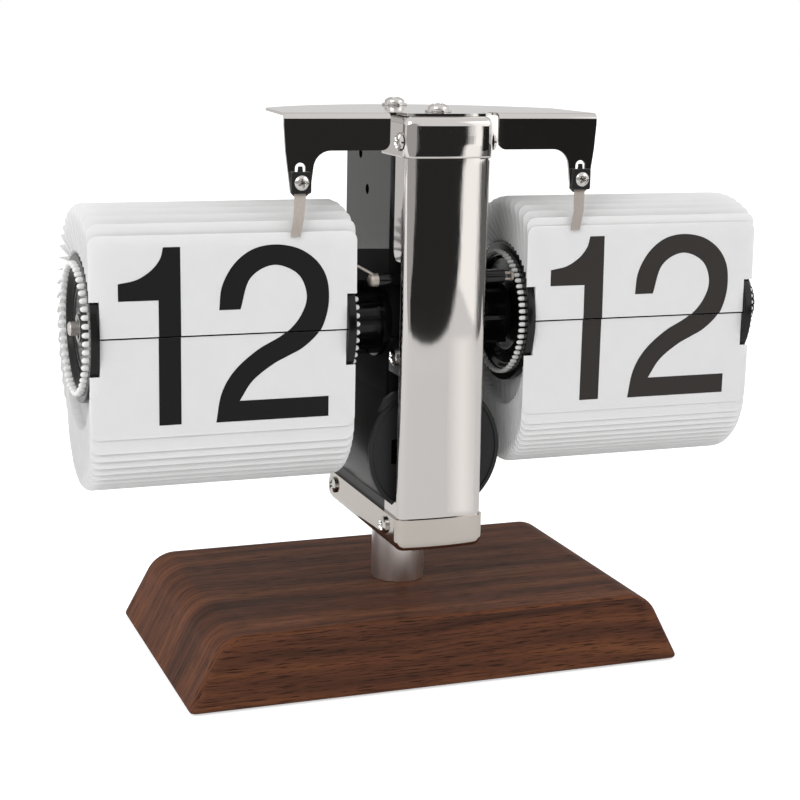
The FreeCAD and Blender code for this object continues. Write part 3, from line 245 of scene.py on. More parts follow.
def caseLowerFinish():
    # eroded mould texture: matt beside the drums, rubbed to a soft gloss towards the tray; its colour,
    # darker than the glossy case, is painted shade from the drums
    c = caseLowerShaded
    made = Finish("caseTexturedShaded", c["color"], c["matt"], specular=c["specular"])
    height = made.node("ShaderNodeSeparateXYZ", {0: made.place()}).outputs["Z"]
    made.set({"Roughness": made.spread(height, c["gloss"], c["matt"], c["glossBelow"], c["mattAbove"])})
    made.bump(made.noise(c["toothScale"], 2), c["toothDepth"], toothHeight)
    return made.material


# material name, colour, roughness, look, and the tooth's depth, specular and metallic where they differ
moulded = {
    "rubber": ("rubberSheet", lin(28, 28, 29), 0.8, plain, 0.5),
    "slotShade": ("slotShade", lin(3, 3, 3), 0.95, plain, 0.12, 0.02),
    "ink": ("leafInk", lin(15, 15, 16), 0.5, plain, 0.1, 0.2),
    # the minute figures' ink is lighter and warmer than the hour ink: painted sheen
    "minuteInk": ("minuteInk", lin(46, 42, 40), 0.5, plain, 0.1, 0.2),
    "gear": ("gearNylon", lin(222, 219, 210), 0.4, plain),
    "copper": ("copperWire", (0.72, 0.32, 0.16), 0.35, plain, 0.12, 0.5, 0.8),
    "board": ("boardGreen", lin(36, 88, 58), 0.4, plain),
    "cell": ("cellJacket", lin(52, 52, 56), 0.35, plain),
    "case": ("caseBlack", lin(15, 15, 16), 0.12, mould, 0.05, 0.34),
    "lid": ("lidSatin", lin(30, 30, 31), 0.42, mould, 0.2, 0.3),
    "drum": ("drumBlack", lin(12, 12, 13), 0.16, mould, 0.06, 0.3),
    "clamp": ("clampBlack", lin(24, 24, 25), 0.30, mould, 0.3),
    "leaf": ("leafWhite", lin(228, 228, 228), 0.38, card, 0.07, 0.4),
    "pin": ("pinWhite", lin(224, 224, 222), 0.42, card, 0.07, 0.4),
}
mirrors = {
    "polished": ("steelMirror", (0.60, 0.575, 0.555), 0.03),
    "tray": ("trayMirror", (0.53, 0.485, 0.445), 0.07),
    "satin": ("postSatin", (0.80, 0.77, 0.75), 0.27),
    "screws": ("screwNickel", (0.60, 0.58, 0.56), 0.10),
    "clip": ("clipSteel", (0.22, 0.215, 0.21), 0.2),
    "brass": ("brassBright", (0.74, 0.60, 0.38), 0.16),
}
# also how the lines are drawn out, and their depth
brushed = {
    "brushed": ("steelBrushed", (0.80, 0.77, 0.75), 0.27, (0.02, 0.02, 1), 0.12),
    "blade": ("steelBlade", (0.54, 0.49, 0.445), 0.5, (1, 1, 0.03)),
    "shaft": ("shaftTurned", (0.66, 0.62, 0.59), 0.36, (0.02, 1, 1), 0.1),
    "steel": ("steelTurned", (0.62, 0.61, 0.60), 0.2, (0.02, 1, 1)),
}
finishes = {"walnut": walnutFinish(), "caseLowerShaded": caseLowerFinish()}
for make, rows in ((mouldedFinish, moulded), (mirrorFinish, mirrors), (brushedFinish, brushed)):
    finishes.update((key, make(*row)) for key, row in rows.items())

slotOf = {row["node"]: row["material_slot"] for row in frame["record"]["subparts"]}
bodyOf = {node: body for body, nodes in frame["record"]["behaviour"]["bodies"].items() for node in nodes}
for name, piece in cadNode.items():
    piece.data.materials.clear()
    piece.data.materials.append(finishes[slotOf[name]])
print("finishes:", len(finishes))


def gridFaces(rows, cols, wrapRows=False, wrapCols=False, start=0):
    # quads between the points of a rows x cols grid; a wrapped direction joins its last line to its first
    i = np.arange(rows if wrapRows else rows - 1)[:, None]
    j = np.arange(cols if wrapCols else cols - 1)
    below, beside = (i + 1) % rows, (j + 1) % cols
    quads = [i * cols + j, i * cols + beside, below * cols + beside, below * cols + j]
    return np.stack(quads, -1).reshape(-1, 4) + start


def addObject(name, data):
    piece = bpy.data.objects.new(name, data)
    bpy.context.scene.collection.objects.link(piece)
    return piece


def makePiece(name, parts, slot, replaced=(), body="frame", finish=None, crease=32.0, bevel=0.0,
              weighted=False):
    # parts is a list of (points in mm, faces); doubles are merged and faces turned outwards
    points, faces, start = [], [], 0
    for rows, quads in parts:
        points.append(np.asarray(rows, float).reshape(-1, 3))
        faces += [[start + int(corner) for corner in face] for face in quads]
        start += len(points[-1])
    mesh = bpy.data.meshes.new(name)
    mesh.from_pydata((np.concatenate(points) * mm).tolist(), [], faces)
    shell = bmesh.new()
    shell.from_mesh(mesh)
    bmesh.ops.remove_doubles(shell, verts=shell.verts, dist=1e-6)
    bmesh.ops.dissolve_degenerate(shell, edges=shell.edges, dist=1e-7)
    bmesh.ops.recalc_face_normals(shell, faces=shell.faces)
    shell.to_mesh(mesh)
    shell.free()
    return dressPiece(name, mesh, slot, replaced, body, finish, crease, bevel, weighted)


def dressPiece(name, mesh, slot, replaced, body, finish, crease, bevel, weighted):
    # smooth up to the crease angle, corners eased by the bevel, normals evened; then its place
    mesh.polygons.foreach_set("use_smooth", np.ones(len(mesh.polygons), bool))
    mesh.set_sharp_from_angle(angle=math.radians(crease))
    mesh.materials.append(finishes[finish or slot])
    piece = addObject(name, mesh)
    if bevel > 0:
        setAll(piece.modifiers.new("edge", "BEVEL"), width=bevel * mm, segments=2, limit_method="ANGLE",
               angle_limit=math.radians(crease), harden_normals=True, use_clamp_overlap=True)
    if weighted:
        setAll(piece.modifiers.new("even", "WEIGHTED_NORMAL"), keep_sharp=True, weight=90)
    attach(piece, body)
    if replaced:
        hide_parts(*replaced)
    return piece


def carriedOver(node, finish=None, bevel=0.0, crease=35.0, bands=(), heel=None):
    # merged copy of a CAD node: flat runs joined, faces smooth up to the crease angle, corners eased by
    # the bevel; bands are (height in mm, climb per mm forwards, finish used below that line), cut into
    # the faces from the top down; heel is (radius, least |x|) in mm of the rounding under both ends
    mesh = cadNode[node].data.copy()
    mesh.name = node + "Fine"
    mesh.materials.clear()
    shell = bmesh.new()
    shell.from_mesh(mesh)
    bmesh.ops.remove_doubles(shell, verts=shell.verts, dist=2e-6)
    bmesh.ops.dissolve_degenerate(shell, edges=shell.edges, dist=1e-6)
    bmesh.ops.dissolve_limit(shell, angle_limit=math.radians(0.4), verts=shell.verts, edges=shell.edges)
    if heel:
        radius, least = heel[0] * mm, heel[1] * mm
        low = min(v.co.z for v in shell.verts) + 1e-6
        under = {v for v in shell.verts if v.co.z < low and abs(v.co.x) > least}
        ends = [edge for edge in shell.edges if under.issuperset(edge.verts)]
        bmesh.ops.bevel(shell, geom=ends, offset=radius, segments=6, profile=0.5, affect="EDGES")
    for number, (height, climb, _) in enumerate(bands, 1):
        bmesh.ops.bisect_plane(shell, geom=shell.verts[:] + shell.edges[:] + shell.faces[:], dist=1e-6,
                               plane_co=(0, 0, height * mm), plane_no=(0, climb, 1))
        for face in shell.faces:
            middle = face.calc_center_median()
            if middle.z + climb * middle.y < height * mm:
                face.material_index = number
    shell.to_mesh(mesh)
    shell.free()
    dressPiece(node + "Fine", mesh, slotOf[node], (node,), bodyOf[node], finish, crease, bevel, True)
    for *_, finishBelow in bands:
        mesh.materials.append(finishes[finishBelow])
    return mesh


def easedPath(corners, radius, steps=5):
    # open path through the corners, each inner one turned by a quadratic arc that starts radius before it
    corners = np.asarray(corners, float)
    radii = np.broadcast_to(radius, len(corners)).astype(float)
    t = np.linspace(0, 1, steps)[:, None]
    runs = [corners[:1]]
    for before, at, after, r in zip(corners[:-2], corners[1:-1], corners[2:], radii[1:-1]):
        back, ahead = before - at, after - at
        r = min(r, 0.45 * np.linalg.norm(back), 0.45 * np.linalg.norm(ahead))
        a = at + back / np.linalg.norm(back) * r
        b = at + ahead / np.linalg.norm(ahead) * r
        runs.append((1 - t) ** 2 * a + 2 * t * (1 - t) * at + t ** 2 * b)
    runs.append(corners[-1:])
    return np.concatenate(runs)


drum = {
    "axisY": -15.2, "axisZ": 106.2, "ring": 18.1, "innerX": 26.1, "outerX": 101.5, "inset": 0.2,
    "discRadius": 20.8, "discThickness": 2.5, "dishRadius": 15.9, "dishSlope": 1.0, "dishFloor": 0.9,
    "hubRadius": 5.0, "hubFoot": 5.6, "hubHeight": 1.9, "spindle": 2.0, "turnSteps": 96, "edge": 0.35,
    "ribRadii": (12.4, 12.2, 11.4, 11.2), "ribHeight": 0.35,
}


def fullTurn(steps):
    return np.linspace(0, 2 * math.pi, steps, endpoint=False)


def aboutAxis(x, r, a):
    # points round the drum axis: y = axisY + r cos a, z = axisZ + r sin a
    y, z = drum["axisY"] + r * np.cos(a), drum["axisZ"] + r * np.sin(a)
    return np.stack(np.broadcast_arrays(x, y, z), -1)


def turnedX(profile, steps=drum["turnSteps"], wobble=None):
    # closed profile rows (x, r) swept round the drum axis
    profile, a = np.asarray(profile, float), fullTurn(steps)
    r = profile[:, 1:2] if wobble is None else wobble(profile[:, 1:2], a)
    return aboutAxis(profile[:, :1], r, a), gridFaces(len(profile), steps, wrapRows=True, wrapCols=True)


def disc(side, outward, nearX):
    # dished disc: flat back, band, sloped dish wall, floor with one low rib, hub round the bore
    d = drum
    floor, rib = d["dishFloor"], d["dishFloor"] + d["ribHeight"]
    corners = [(0, d["spindle"]), (0, d["discRadius"]), (d["discThickness"], d["discRadius"]),
               (d["discThickness"], d["dishRadius"] + d["dishSlope"]), (floor, d["dishRadius"]),
               *zip((floor, rib, rib, floor), d["ribRadii"]), (floor, d["hubFoot"]),
               (d["hubHeight"], d["hubRadius"]), (d["hubHeight"], d["spindle"])]
    path = easedPath(corners, d["edge"])
    path[:, 0] = side * nearX + outward * path[:, 0]
    return turnedX(path)


nearOuter = drum["outerX"] - drum["inset"] - drum["discThickness"]
nearInner = drum["innerX"] + drum["inset"] + drum["discThickness"]
for side, owner in ((-1, "hour"), (1, "minute")):
    for end, outward, near in (("Outer", side, nearOuter), ("Inner", -side, nearInner)):
        makePiece(owner + "Disc" + end, [disc(side, outward, near)], "drum",
                  (owner + "_disc_" + end.lower(),), owner + "_drum")
print("drum discs")

beads = {"length": 2.0, "innerShare": 0.9, "hourRadius": 0.78, "minuteRadius": 0.64, "sides": 8,
         "along": (0.0, 0.62, 0.86, 1.0), "reach": (1.0, 1.0, 0.72, 0.0)}


def beadRing(side, count, radius, startX, length, outward):
    # round-ended pegs on the hinge circle: a profile (along, reach) turned about each hinge line
    place = np.radians(360.0 * (np.arange(count) + 0.5) / count)[:, None, None]
    around = fullTurn(beads["sides"])
    along = np.array(beads["along"])[:, None] * length
    reach = np.array(beads["reach"])[:, None] * radius
    x = (side * startX + outward * along) * np.ones((count, 1, beads["sides"]))
    y = drum["axisY"] + drum["ring"] * np.cos(place) + reach * np.cos(around)
    z = drum["axisZ"] + drum["ring"] * np.sin(place) + reach * np.sin(around)
    points = np.stack([x, y, z], -1)
    per = points.shape[1] * points.shape[2]
    sheet = gridFaces(points.shape[1], points.shape[2], wrapCols=True)
    faces = (np.arange(count)[:, None, None] * per + sheet[None]).reshape(-1, 4).tolist()
    faces += [[n * per + k for k in range(beads["sides"])] for n in range(count)]
    return points, faces


outerEnd, innerEnd = drum["outerX"] - drum["inset"], drum["innerX"] + drum["inset"]
for side, owner, count in ((-1, "hour", 48), (1, "minute", 60)):
    radius = beads[owner + "Radius"]
    outer = beadRing(side, count, radius, outerEnd, beads["length"], side)
    inner = beadRing(side, count, radius, innerEnd, beads["innerShare"] * beads["length"], -side)
    makePiece(owner + "Beads", [outer, inner], "pin", (owner + "_pins",), owner + "_drum", crease=60)
print("hinge beads")

clip = {"outer": 4.0, "inner": 2.05, "nearX": -100.3, "farX": -101.15, "lips": 3, "lipShare": 0.15,
        "lobeDepth": 0.9, "gap": 0.55, "steps": 73}


def springClip():
    # open ring in polar form: the inner edge steps out between three lips that grip the shaft's groove
    a = np.linspace(clip["gap"], 2 * math.pi - clip["gap"], clip["steps"])
    lobes = clip["inner"] + clip["lobeDepth"] * (np.cos(clip["lips"] * a) > clip["lipShare"])
    loop = [(clip["nearX"], clip["outer"]), (clip["farX"], clip["outer"]), (clip["farX"], lobes),
            (clip["nearX"], lobes)]
    points = np.stack([aboutAxis(x, r, a) for x, r in loop])
    n = len(a)
    faces = gridFaces(4, n, wrapRows=True).tolist()
    faces += [[0, n, 2 * n, 3 * n], [n - 1, 4 * n - 1, 3 * n - 1, 2 * n - 1]]
    return points, faces


knob = {"bore": 2.0, "boreEnd": 108.8, "neckFrom": 100.2, "neckRadius": 5.0, "from": 104.5, "to": 110.0,
        "radius": 8.6, "rimRadius": 6.4, "dishDepth": 0.7, "dishRadius": 6.1, "buttonFoot": 3.0,
        "buttonDepth": 0.2, "buttonRadius": 2.6, "flutes": 24, "fluteDepth": 0.55, "fluteFade": 1.2,
        "fluteFloor": -0.35, "edges": (0, 0.3, 0.3, 0.9, 0.9, 0.4, 0.4, 0.4, 0.4, 0), "edgeSteps": 6,
        "turnSteps": 240}


def fluted(r, a):
    # grip radius falls in at each flute, only on the rows near full radius
    share = np.clip((r - knob["radius"] + knob["fluteFade"]) / knob["fluteFade"], 0, 1)
    wave = np.clip(np.cos(knob["flutes"] * a), knob["fluteFloor"], 1) ** 2
    return r - share * knob["fluteDepth"] * wave


def settingKnob():
    # neck, fluted grip, sunk face with a button, and the blind bore, as one closed profile (x, r)
    k = knob
    dish, button = k["to"] - k["dishDepth"], k["to"] - k["buttonDepth"]
    corners = [(k["neckFrom"], k["bore"]), (k["neckFrom"], k["neckRadius"]), (k["from"], k["neckRadius"]),
               (k["from"], k["radius"]), (k["to"], k["radius"]), (k["to"], k["rimRadius"]),
               (dish, k["dishRadius"]), (dish, k["buttonFoot"]), (button, k["buttonRadius"]), (button, 0)]
    bore = [(k["boreEnd"], 0.0), (k["boreEnd"], k["bore"])]
    path = np.concatenate([easedPath(corners, k["edges"], k["edgeSteps"]), bore])
    return turnedX(path, k["turnSteps"], fluted)


makePiece("springClip", [springClip()], "steel", ("hour_collar",), "hour_drum", "clip", 25, 0.12)
makePiece("settingKnob", [settingKnob()], "drum", ("setting_wheel",), "minute_drum", crease=40)
print("clip and setting knob")

sheetMetal = {"halfWidth": 13.0, "bowCentreY": 47.5, "bowRadius": 85.0, "cornerX": 10.6,
              "cornerY": -34.417, "cornerRadius": 2.4, "thickness": 0.7, "wallSteps": 6,
              "cornerSteps": 9, "bowSteps": 30}


def bowPath(out, back):
    # left wall, left corner arc, bowed front, right corner arc, right wall; out moves it all outwards
    s = sheetMetal
    lean = math.asin(s["cornerX"] / (s["bowRadius"] - s["cornerRadius"]))
    down = np.linspace(back, s["cornerY"], s["wallSteps"])
    left = np.stack([np.full(s["wallSteps"], -s["halfWidth"] - out), down], -1)
    a = np.linspace(math.pi, 1.5 * math.pi - lean, s["cornerSteps"])[1:]
    r = s["cornerRadius"] + out
    corner = np.stack([-s["cornerX"] + r * np.cos(a), s["cornerY"] + r * np.sin(a)], -1)
    b = np.linspace(-lean, lean, s["bowSteps"])[1:-1]
    r = s["bowRadius"] + out
    front = np.stack([r * np.sin(b), s["bowCentreY"] - r * np.cos(b)], -1)
    half = np.concatenate([left, corner])
    return np.concatenate([half, front, half[::-1] * (-1, 1)])


def bowRow(out, back, height):
    # the bowed line lifted to one height
    line = bowPath(out, back)
    return np.column_stack([line, np.full(len(line), height)])


column = {"low": 41.0, "high": 162.9, "footBack": -24.7, "footTop": 54.4, "lipBack": -34.6,
          "tabBack": -28.2, "tabLow": 127.8, "tabRadius": 3.2, "tabSteps": 10, "rows": (6, 8, 6),
          "rowGaps": (8, 3, 2), "kink": 0.02, "hair": 0.001}
tabFoot = column["tabLow"] - column["tabRadius"]


def columnBack(z):
    # rear edge of the side walls at height z: wide foot tab, narrow lips, rounded upper tab
    c = column
    middle = (c["tabBack"] + c["lipBack"]) / 2
    rise = np.clip((c["tabLow"] - z) / c["tabRadius"], 0, 1)
    upper = middle + c["tabRadius"] * np.sqrt(np.clip(1 - rise ** 2, 0, 1))
    upper = np.where(z < tabFoot + 1e-6, c["lipBack"] + c["kink"], upper)
    curved = np.where(z < c["tabLow"], upper, c["tabBack"])
    return np.where(z < c["footTop"], c["footBack"], np.where(z < tabFoot, c["lipBack"], curved))


def columnCover():
    # the same bowed line at every height, its two ends moving with the rear edge; both skins joined
    c = column
    tab = c["tabLow"] - c["tabRadius"] * np.cos(np.linspace(0, math.pi / 2, c["tabSteps"]))
    footRows, lipRows, topRows = c["rows"]
    aboveFoot, belowTab, aboveTab = c["rowGaps"]
    z = np.concatenate([np.linspace(c["low"], c["footTop"] - c["kink"], footRows),
                        [c["footTop"] + c["kink"]],
                        np.linspace(c["footTop"] + aboveFoot, tabFoot - belowTab, lipRows),
                        [tabFoot - c["kink"]], tab + c["hair"],
                        np.linspace(c["tabLow"] + aboveTab, c["high"], topRows)])
    outer, inner = (np.stack([bowRow(out, back, h) for h, back in zip(z, columnBack(z))])
                    for out in (0.0, -sheetMetal["thickness"]))
    rows, cols = outer.shape[:2]
    loop = np.concatenate([outer, inner[:, ::-1]], axis=1)
    faces = gridFaces(rows, 2 * cols, wrapCols=True).tolist()
    for first in (0, (rows - 1) * 2 * cols):  # lower and upper rim
        last = first + 2 * cols - 1
        faces += [[first + k, first + k + 1, last - 1 - k, last - k] for k in range(cols - 1)]
    return loop, faces


cap = {"low": 154.0, "top": 165.5, "back": -18.0, "edge": 2.6, "pillow": 0.13, "edgeSteps": 9,
       "rimRows": (0.0, 0.1, 0.3), "rimFall": (0.3, 0.12, 0.03), "wallFrom": 0.6, "wallRows": 8,
       "ceilingInset": 2.0}


def topCap():
    # skirt rows up to the rounded rim, then the flat roof; the skirt swells by a parabola of the height
    c, thin = cap, sheetMetal["thickness"]
    lip = c["top"] - c["edge"]
    wall = np.linspace(c["wallFrom"], lip - c["low"], c["wallRows"])
    up = c["low"] + np.concatenate([c["rimRows"], wall])
    swell = -c["pillow"] * ((up - (c["low"] + lip) / 2) / ((lip - c["low"]) / 2)) ** 2
    swell[:len(c["rimFall"])] -= c["rimFall"]
    turn = np.linspace(0, math.pi / 2, c["edgeSteps"])[1:]
    heights = np.concatenate([up, lip + c["edge"] * np.sin(turn)])
    outs = thin + np.concatenate([swell, -c["pillow"] - (c["edge"] - c["pillow"]) * (1 - np.cos(turn))])
    inside = ((c["top"] - thin, -c["ceilingInset"]), (lip, 0.0), (c["low"], 0.0))
    sheet = np.stack([bowRow(o, c["back"], h) for h, o in (*zip(heights, outs), *inside)])
    rows, cols = sheet.shape[:2]
    roof = (len(heights) - 1) * cols
    ceiling, rim = roof + cols, (rows - 1) * cols
    faces = [f for f in gridFaces(rows, cols).tolist() if not roof <= f[0] < ceiling]
    faces.append([roof + k for k in range(cols)])
    faces.append([ceiling + k for k in range(cols)][::-1])
    faces += [[rim + k, rim + k + 1, k + 1, k] for k in range(cols - 1)]
    for k in (0, cols - 1):                                         # rear edges of both walls
        faces.append([row * cols + k for row in range(rows)])
    faces.append([roof, ceiling - 1, ceiling + cols - 1, ceiling])  # rear edge of the roof
    return sheet, faces


tray = {"low": 39.8, "high": 49.6, "back": 26.0, "edge": 3.0, "floor": 1.0, "rows": 27}


def trayPan():
    # rows (height, inset) down the wall and round the lower edge, their rear ends on the half-round ear
    t = tray
    ear = (t["high"] - t["low"]) / 2
    sweep = np.linspace(math.pi / 2, -math.pi / 2, t["rows"])
    height = t["low"] + ear + ear * np.sin(sweep)
    back = t["back"] - ear + ear * np.cos(sweep)
    dip = np.clip(t["edge"] - (height - t["low"]), 0, t["edge"])
    fall = t["edge"] - np.sqrt(t["edge"] ** 2 - dip ** 2)
    thin = sheetMetal["thickness"]
    outer = np.stack([bowRow(thin - f, b, h) for f, b, h in zip(fall, back, height)])
    inner = np.stack([bowRow(-f * (1 - thin / t["edge"]), b, h + t["floor"] * d / t["edge"])
                      for f, b, h, d in zip(fall, back, height, dip)])
    rows, cols = outer.shape[:2]
    size, last = rows * cols, (rows - 1) * cols
    faces = gridFaces(rows, cols).tolist() + gridFaces(rows, cols, start=size).tolist()
    faces += [[k, k + 1, size + k + 1, size + k] for k in range(cols - 1)]  # upper rim
    for end in (0, cols - 1):                                               # rear edges of both walls
        edge = range(end, rows * cols, cols)
        faces += [[low, high, size + high, size + low] for low, high in zip(edge[:-1], edge[1:])]
    faces.append([last + k for k in range(cols)])                           # underside
    faces.append([size + last + k for k in range(cols)])                    # floor
    faces.append([last, last + cols - 1, size + last + cols - 1, size + last])  # rear edge of both
    return np.concatenate([outer.reshape(-1, 3), inner.reshape(-1, 3)]), faces


for name, part, node, finish in (("trayDrawn", trayPan(), "lower_bracket", "tray"),
                                 ("columnCoverSheet", columnCover(), "column_cover", None),
                                 ("topCapDrawn", topCap(), "top_cap", None)):
    makePiece(name, [part], "polished", (node,), finish=finish, crease=40, weighted=True)
print("tray, column cover and cap")

screwHead = {"ringShares": (*np.linspace(0, 0.86, 9), 0.95, 1.0), "sides": 32, "dome": 0.55,
             "domePower": 2.6, "crossHalf": 0.176, "crossReach": 0.62, "crossDepth": 0.54,
             "armFade": 0.08, "reachFade": 0.12}


def crossScrew(seat, outward, up, headRadius, headHeight, shankRadius, shankLength):
    # domed head as a polar height field, a cross pressed in; then the head's underside, shank and end
    s = screwHead
    a = fullTurn(s["sides"])
    r = np.array(s["ringShares"])[:, None] * headRadius
    dome = headHeight * (1 - s["dome"] * np.clip(r / headRadius, 0, 1) ** s["domePower"])
    u, v = np.abs(r * np.cos(a)) / headRadius, np.abs(r * np.sin(a)) / headRadius
    arm = np.clip((s["crossHalf"] - np.minimum(u, v)) / s["armFade"], 0, 1)
    reach = np.clip((s["crossReach"] - np.maximum(u, v)) / s["reachFade"], 0, 1)
    h = dome - s["crossDepth"] * headHeight * arm * reach
    down = np.array([(headRadius, 0.0), (shankRadius, 0.0), (shankRadius, -shankLength),
                     (0.0, -shankLength)])
    r = np.concatenate([r, down[:, :1]])
    h = np.concatenate([h, down[:, 1:] * np.ones_like(a)])
    seat, outward, up = (np.asarray(w, float) for w in (seat, outward, up))
    points = (seat + h[..., None] * outward + (r * np.cos(a))[..., None] * np.cross(up, outward)
              + (r * np.sin(a))[..., None] * up)
    return points, gridFaces(len(r), s["sides"], wrapCols=True)


def tilted(degrees, outward):
    # a direction across the screw's axis, turned by some degrees, so the crosses don't all stand square
    a = math.radians(degrees)
    first = (0, 0, 1) if abs(outward[2]) < 0.5 else (0, 1, 0)
    return math.cos(a) * np.array(first) + math.sin(a) * np.cross(outward, first)


# CAD node, (head radius, head height, shank radius, shank length), distance from the middle plane, and
# side, y, z and turn of each screw; those of side 0 stand on top
screwSets = {
    "capScrews": ("cap_screws", (2.6, 1.5, 1.4, 7.0), 13.7, [(-1, -33.6, 158.4, 20), (1, -33.6, 158.4, 55)]),
    "trayScrews": ("bracket_screws", (2.6, 1.5, 1.4, 6.0), 13.7,
                   [(-1, -27.0, 45.8, 35), (-1, 20.0, 45.8, 70), (1, -27.0, 45.8, 10), (1, 20.0, 45.8, 52)]),
    "stayScrews": ("stay_screws", (2.6, 1.5, 1.4, 5.5), 13.0, [(-1, -31.0, 97.0, 28), (1, -31.0, 97.0, 61)]),
    "armScrewHeads": ("arm_screws", (3.0, 1.9, 1.4, 8.0), 0, [(0, -27.0, 166.9, 25), (0, 9.0, 166.9, 60)]),
}
for name, (node, size, x, places) in screwSets.items():
    parts = []
    for side, y, z, turn in places:
        outward = (side, 0, 0 if side else 1)
        parts.append(crossScrew((side * x, y, z), outward, tilted(turn, outward), *size))
    makePiece(name, parts, "screws", (node,), crease=50)


def prismY(outline, front, back):
    # outline (x, z) carried from one depth to another, both ends closed
    ring = np.array([(x, front, z) for x, z in outline])
    points = np.stack([ring, ring + (0, back - front, 0)])
    n = len(outline)
    return points, gridFaces(2, n, wrapCols=True).tolist() + [list(range(n))[::-1], list(range(n, 2 * n))]


finger = {"x": 42.5, "z": 147.4, "seatY": -34.1, "screw": (2.1, 1.3, 1.1, 4.7), "turns": {-1: 16, 1: 44},
          "nutRadius": 2.5, "nutFront": -32.0, "nutBack": -30.2, "endFront": -33.1, "endBack": -32.5,
          "end": [(-0.8, 150.0), (0.8, 150.0), (0.6, 151.8), (-0.6, 151.8)]}
fingerParts, forwards = [], (0, -1, 0)
for side, turn in finger["turns"].items():
    seat = (side * finger["x"], finger["seatY"], finger["z"])
    fingerParts.append(crossScrew(seat, forwards, tilted(turn, forwards), *finger["screw"]))
    a = np.radians(60 * np.arange(6))
    nut = finger["nutRadius"] * np.stack([np.cos(a), np.sin(a)], -1) + seat[::2]
    fingerParts.append(prismY(nut, finger["nutFront"], finger["nutBack"]))
makePiece("fingerScrewHeads", fingerParts, "screws", ("finger_screws",), crease=50)
print("screws")

leaves = {"height": 27.8, "thickness": 0.22, "notchWidth": 2.85, "notchHeight": 10.2, "corner": 2.6,
          "tail": 0.5, "splitGap": 0.25, "lift": 5.7, "frontOffset": 0.45, "frontLean": 1.5,
          "cornerSteps": 6, "ring": 18.1, "centreY": -16.1, "phase": 0.28}


def leafOutline(side, start):
    # flat outline (x, s): straight hinge edge between the notches, two rounded free corners
    l = leaves
    x0, x1 = sorted((side * drum["innerX"], side * drum["outerX"]))
    a = np.linspace(0, math.pi / 2, l["cornerSteps"])
    top = l["height"] - l["corner"]
    right = np.stack([x1 - l["corner"] + l["corner"] * np.cos(a), top + l["corner"] * np.sin(a)], -1)
    left = np.stack([x0 + l["corner"] - l["corner"] * np.sin(a), top + l["corner"] * np.cos(a)], -1)
    n0, n1 = x0 + l["notchWidth"], x1 - l["notchWidth"]
    low = np.array([(n0, start), (n1, start), (n1, l["notchHeight"]), (x1, l["notchHeight"])])
    return np.concatenate([low, right, left, [(x0, l["notchHeight"]), (n0, l["notchHeight"])]])


def leaning(degrees):
    # directions (y, z) up a leaf of this lean and square to its face
    a = np.radians(degrees)
    return np.stack([np.sin(a), np.cos(a)], -1), np.stack([np.cos(a), -np.sin(a)], -1)


def leafBatch(side, hinges, leans, start):
    # every leaf of a pack at once: outline carried along each lean, half a thickness to both sides
    outline, hinges = leafOutline(side, start), np.asarray(hinges, float)[:, None, :]
    along, normal = (way[:, None, :] for way in leaning(leans))
    n, rows = len(outline), []
    for offset in (-0.5, 0.5):
        yz = hinges + outline[None, :, 1:] * along + offset * leaves["thickness"] * normal
        x = np.broadcast_to(outline[None, :, :1], (len(leans), n, 1))
        rows.append(np.concatenate([x, yz + (leaves["centreY"], drum["axisZ"])], -1))
    points = np.stack(rows, 1)  # leaf, face, outline point
    walls, faces = gridFaces(2, n, wrapCols=True), []
    for first in range(0, len(leans) * 2 * n, 2 * n):
        back = list(range(first + 2 * n - 1, first + n - 1, -1))
        faces += (walls + first).tolist() + [list(range(first, first + n)), back]
    return points, faces


def packPlaces(count, upper):
    # hinge points and leans of the resting leaves, numbered from the front over the top
    step = 360.0 / count
    place = step * (np.arange(1, count - 1) + leaves["phase"])
    place = place[place < 180.0] if upper else place[place >= 180.0]
    turn = np.radians(180.0 - place)
    hinges = leaves["ring"] * np.stack([np.cos(turn), np.sin(turn)], -1)
    return hinges, np.clip(place - leaves["lift"], 0.0, 180.0)


frontHinge = (-leaves["ring"] - leaves["frontOffset"], 0.0)
hangHinge = (-leaves["ring"], 0.0)
for side, owner, count in ((-1, "hour", 48), (1, "minute", 60)):
    upper = leafBatch(side, *packPlaces(count, True), -leaves["tail"])
    lower = leafBatch(side, *packPlaces(count, False), -leaves["tail"])
    hanging = leafBatch(side, [hangHinge], [180.0], leaves["splitGap"])
    falling = leafBatch(side, [frontHinge], [leaves["frontLean"]], leaves["splitGap"])
    makePiece(owner + "LeavesUpper", [upper], "leaf", (owner + "_leaves_upper",), crease=50)
    makePiece(owner + "LeavesLower", [lower, hanging], "leaf", (owner + "_leaves_lower",), crease=50)
    makePiece(owner + "FallingLeaf", [falling], "leaf", (owner + "_falling_leaf",), owner + "_leaf",
              crease=50)
print("leaves")

numbers = {"firstLeft": -93.6, "secondLeft": -66.6, "rightShift": 127.3, "lift": 0.02, "thickness": 0.03,
           "curveSteps": 7}


def smoothRun(points):
    # Catmull-Rom curve through the points, worked out span by span as arrays
    p = np.asarray(points, float)
    if len(p) == 2:
        return p
    ends = np.concatenate([2 * p[:1] - p[1:2], p, 2 * p[-1:] - p[-2:-1]])
    a, b, c, d = ends[:-3, None], ends[1:-2, None], ends[2:-1, None], ends[3:, None]
    t = np.linspace(0, 1, numbers["curveSteps"], endpoint=False)[None, :, None]
    curve = 0.5 * (2 * b + (c - a) * t + (2 * a - 5 * b + 4 * c - d) * t ** 2
                   + (3 * b - a - 3 * c + d) * t ** 3)
    return np.concatenate([curve.reshape(-1, 2), p[-1:]])


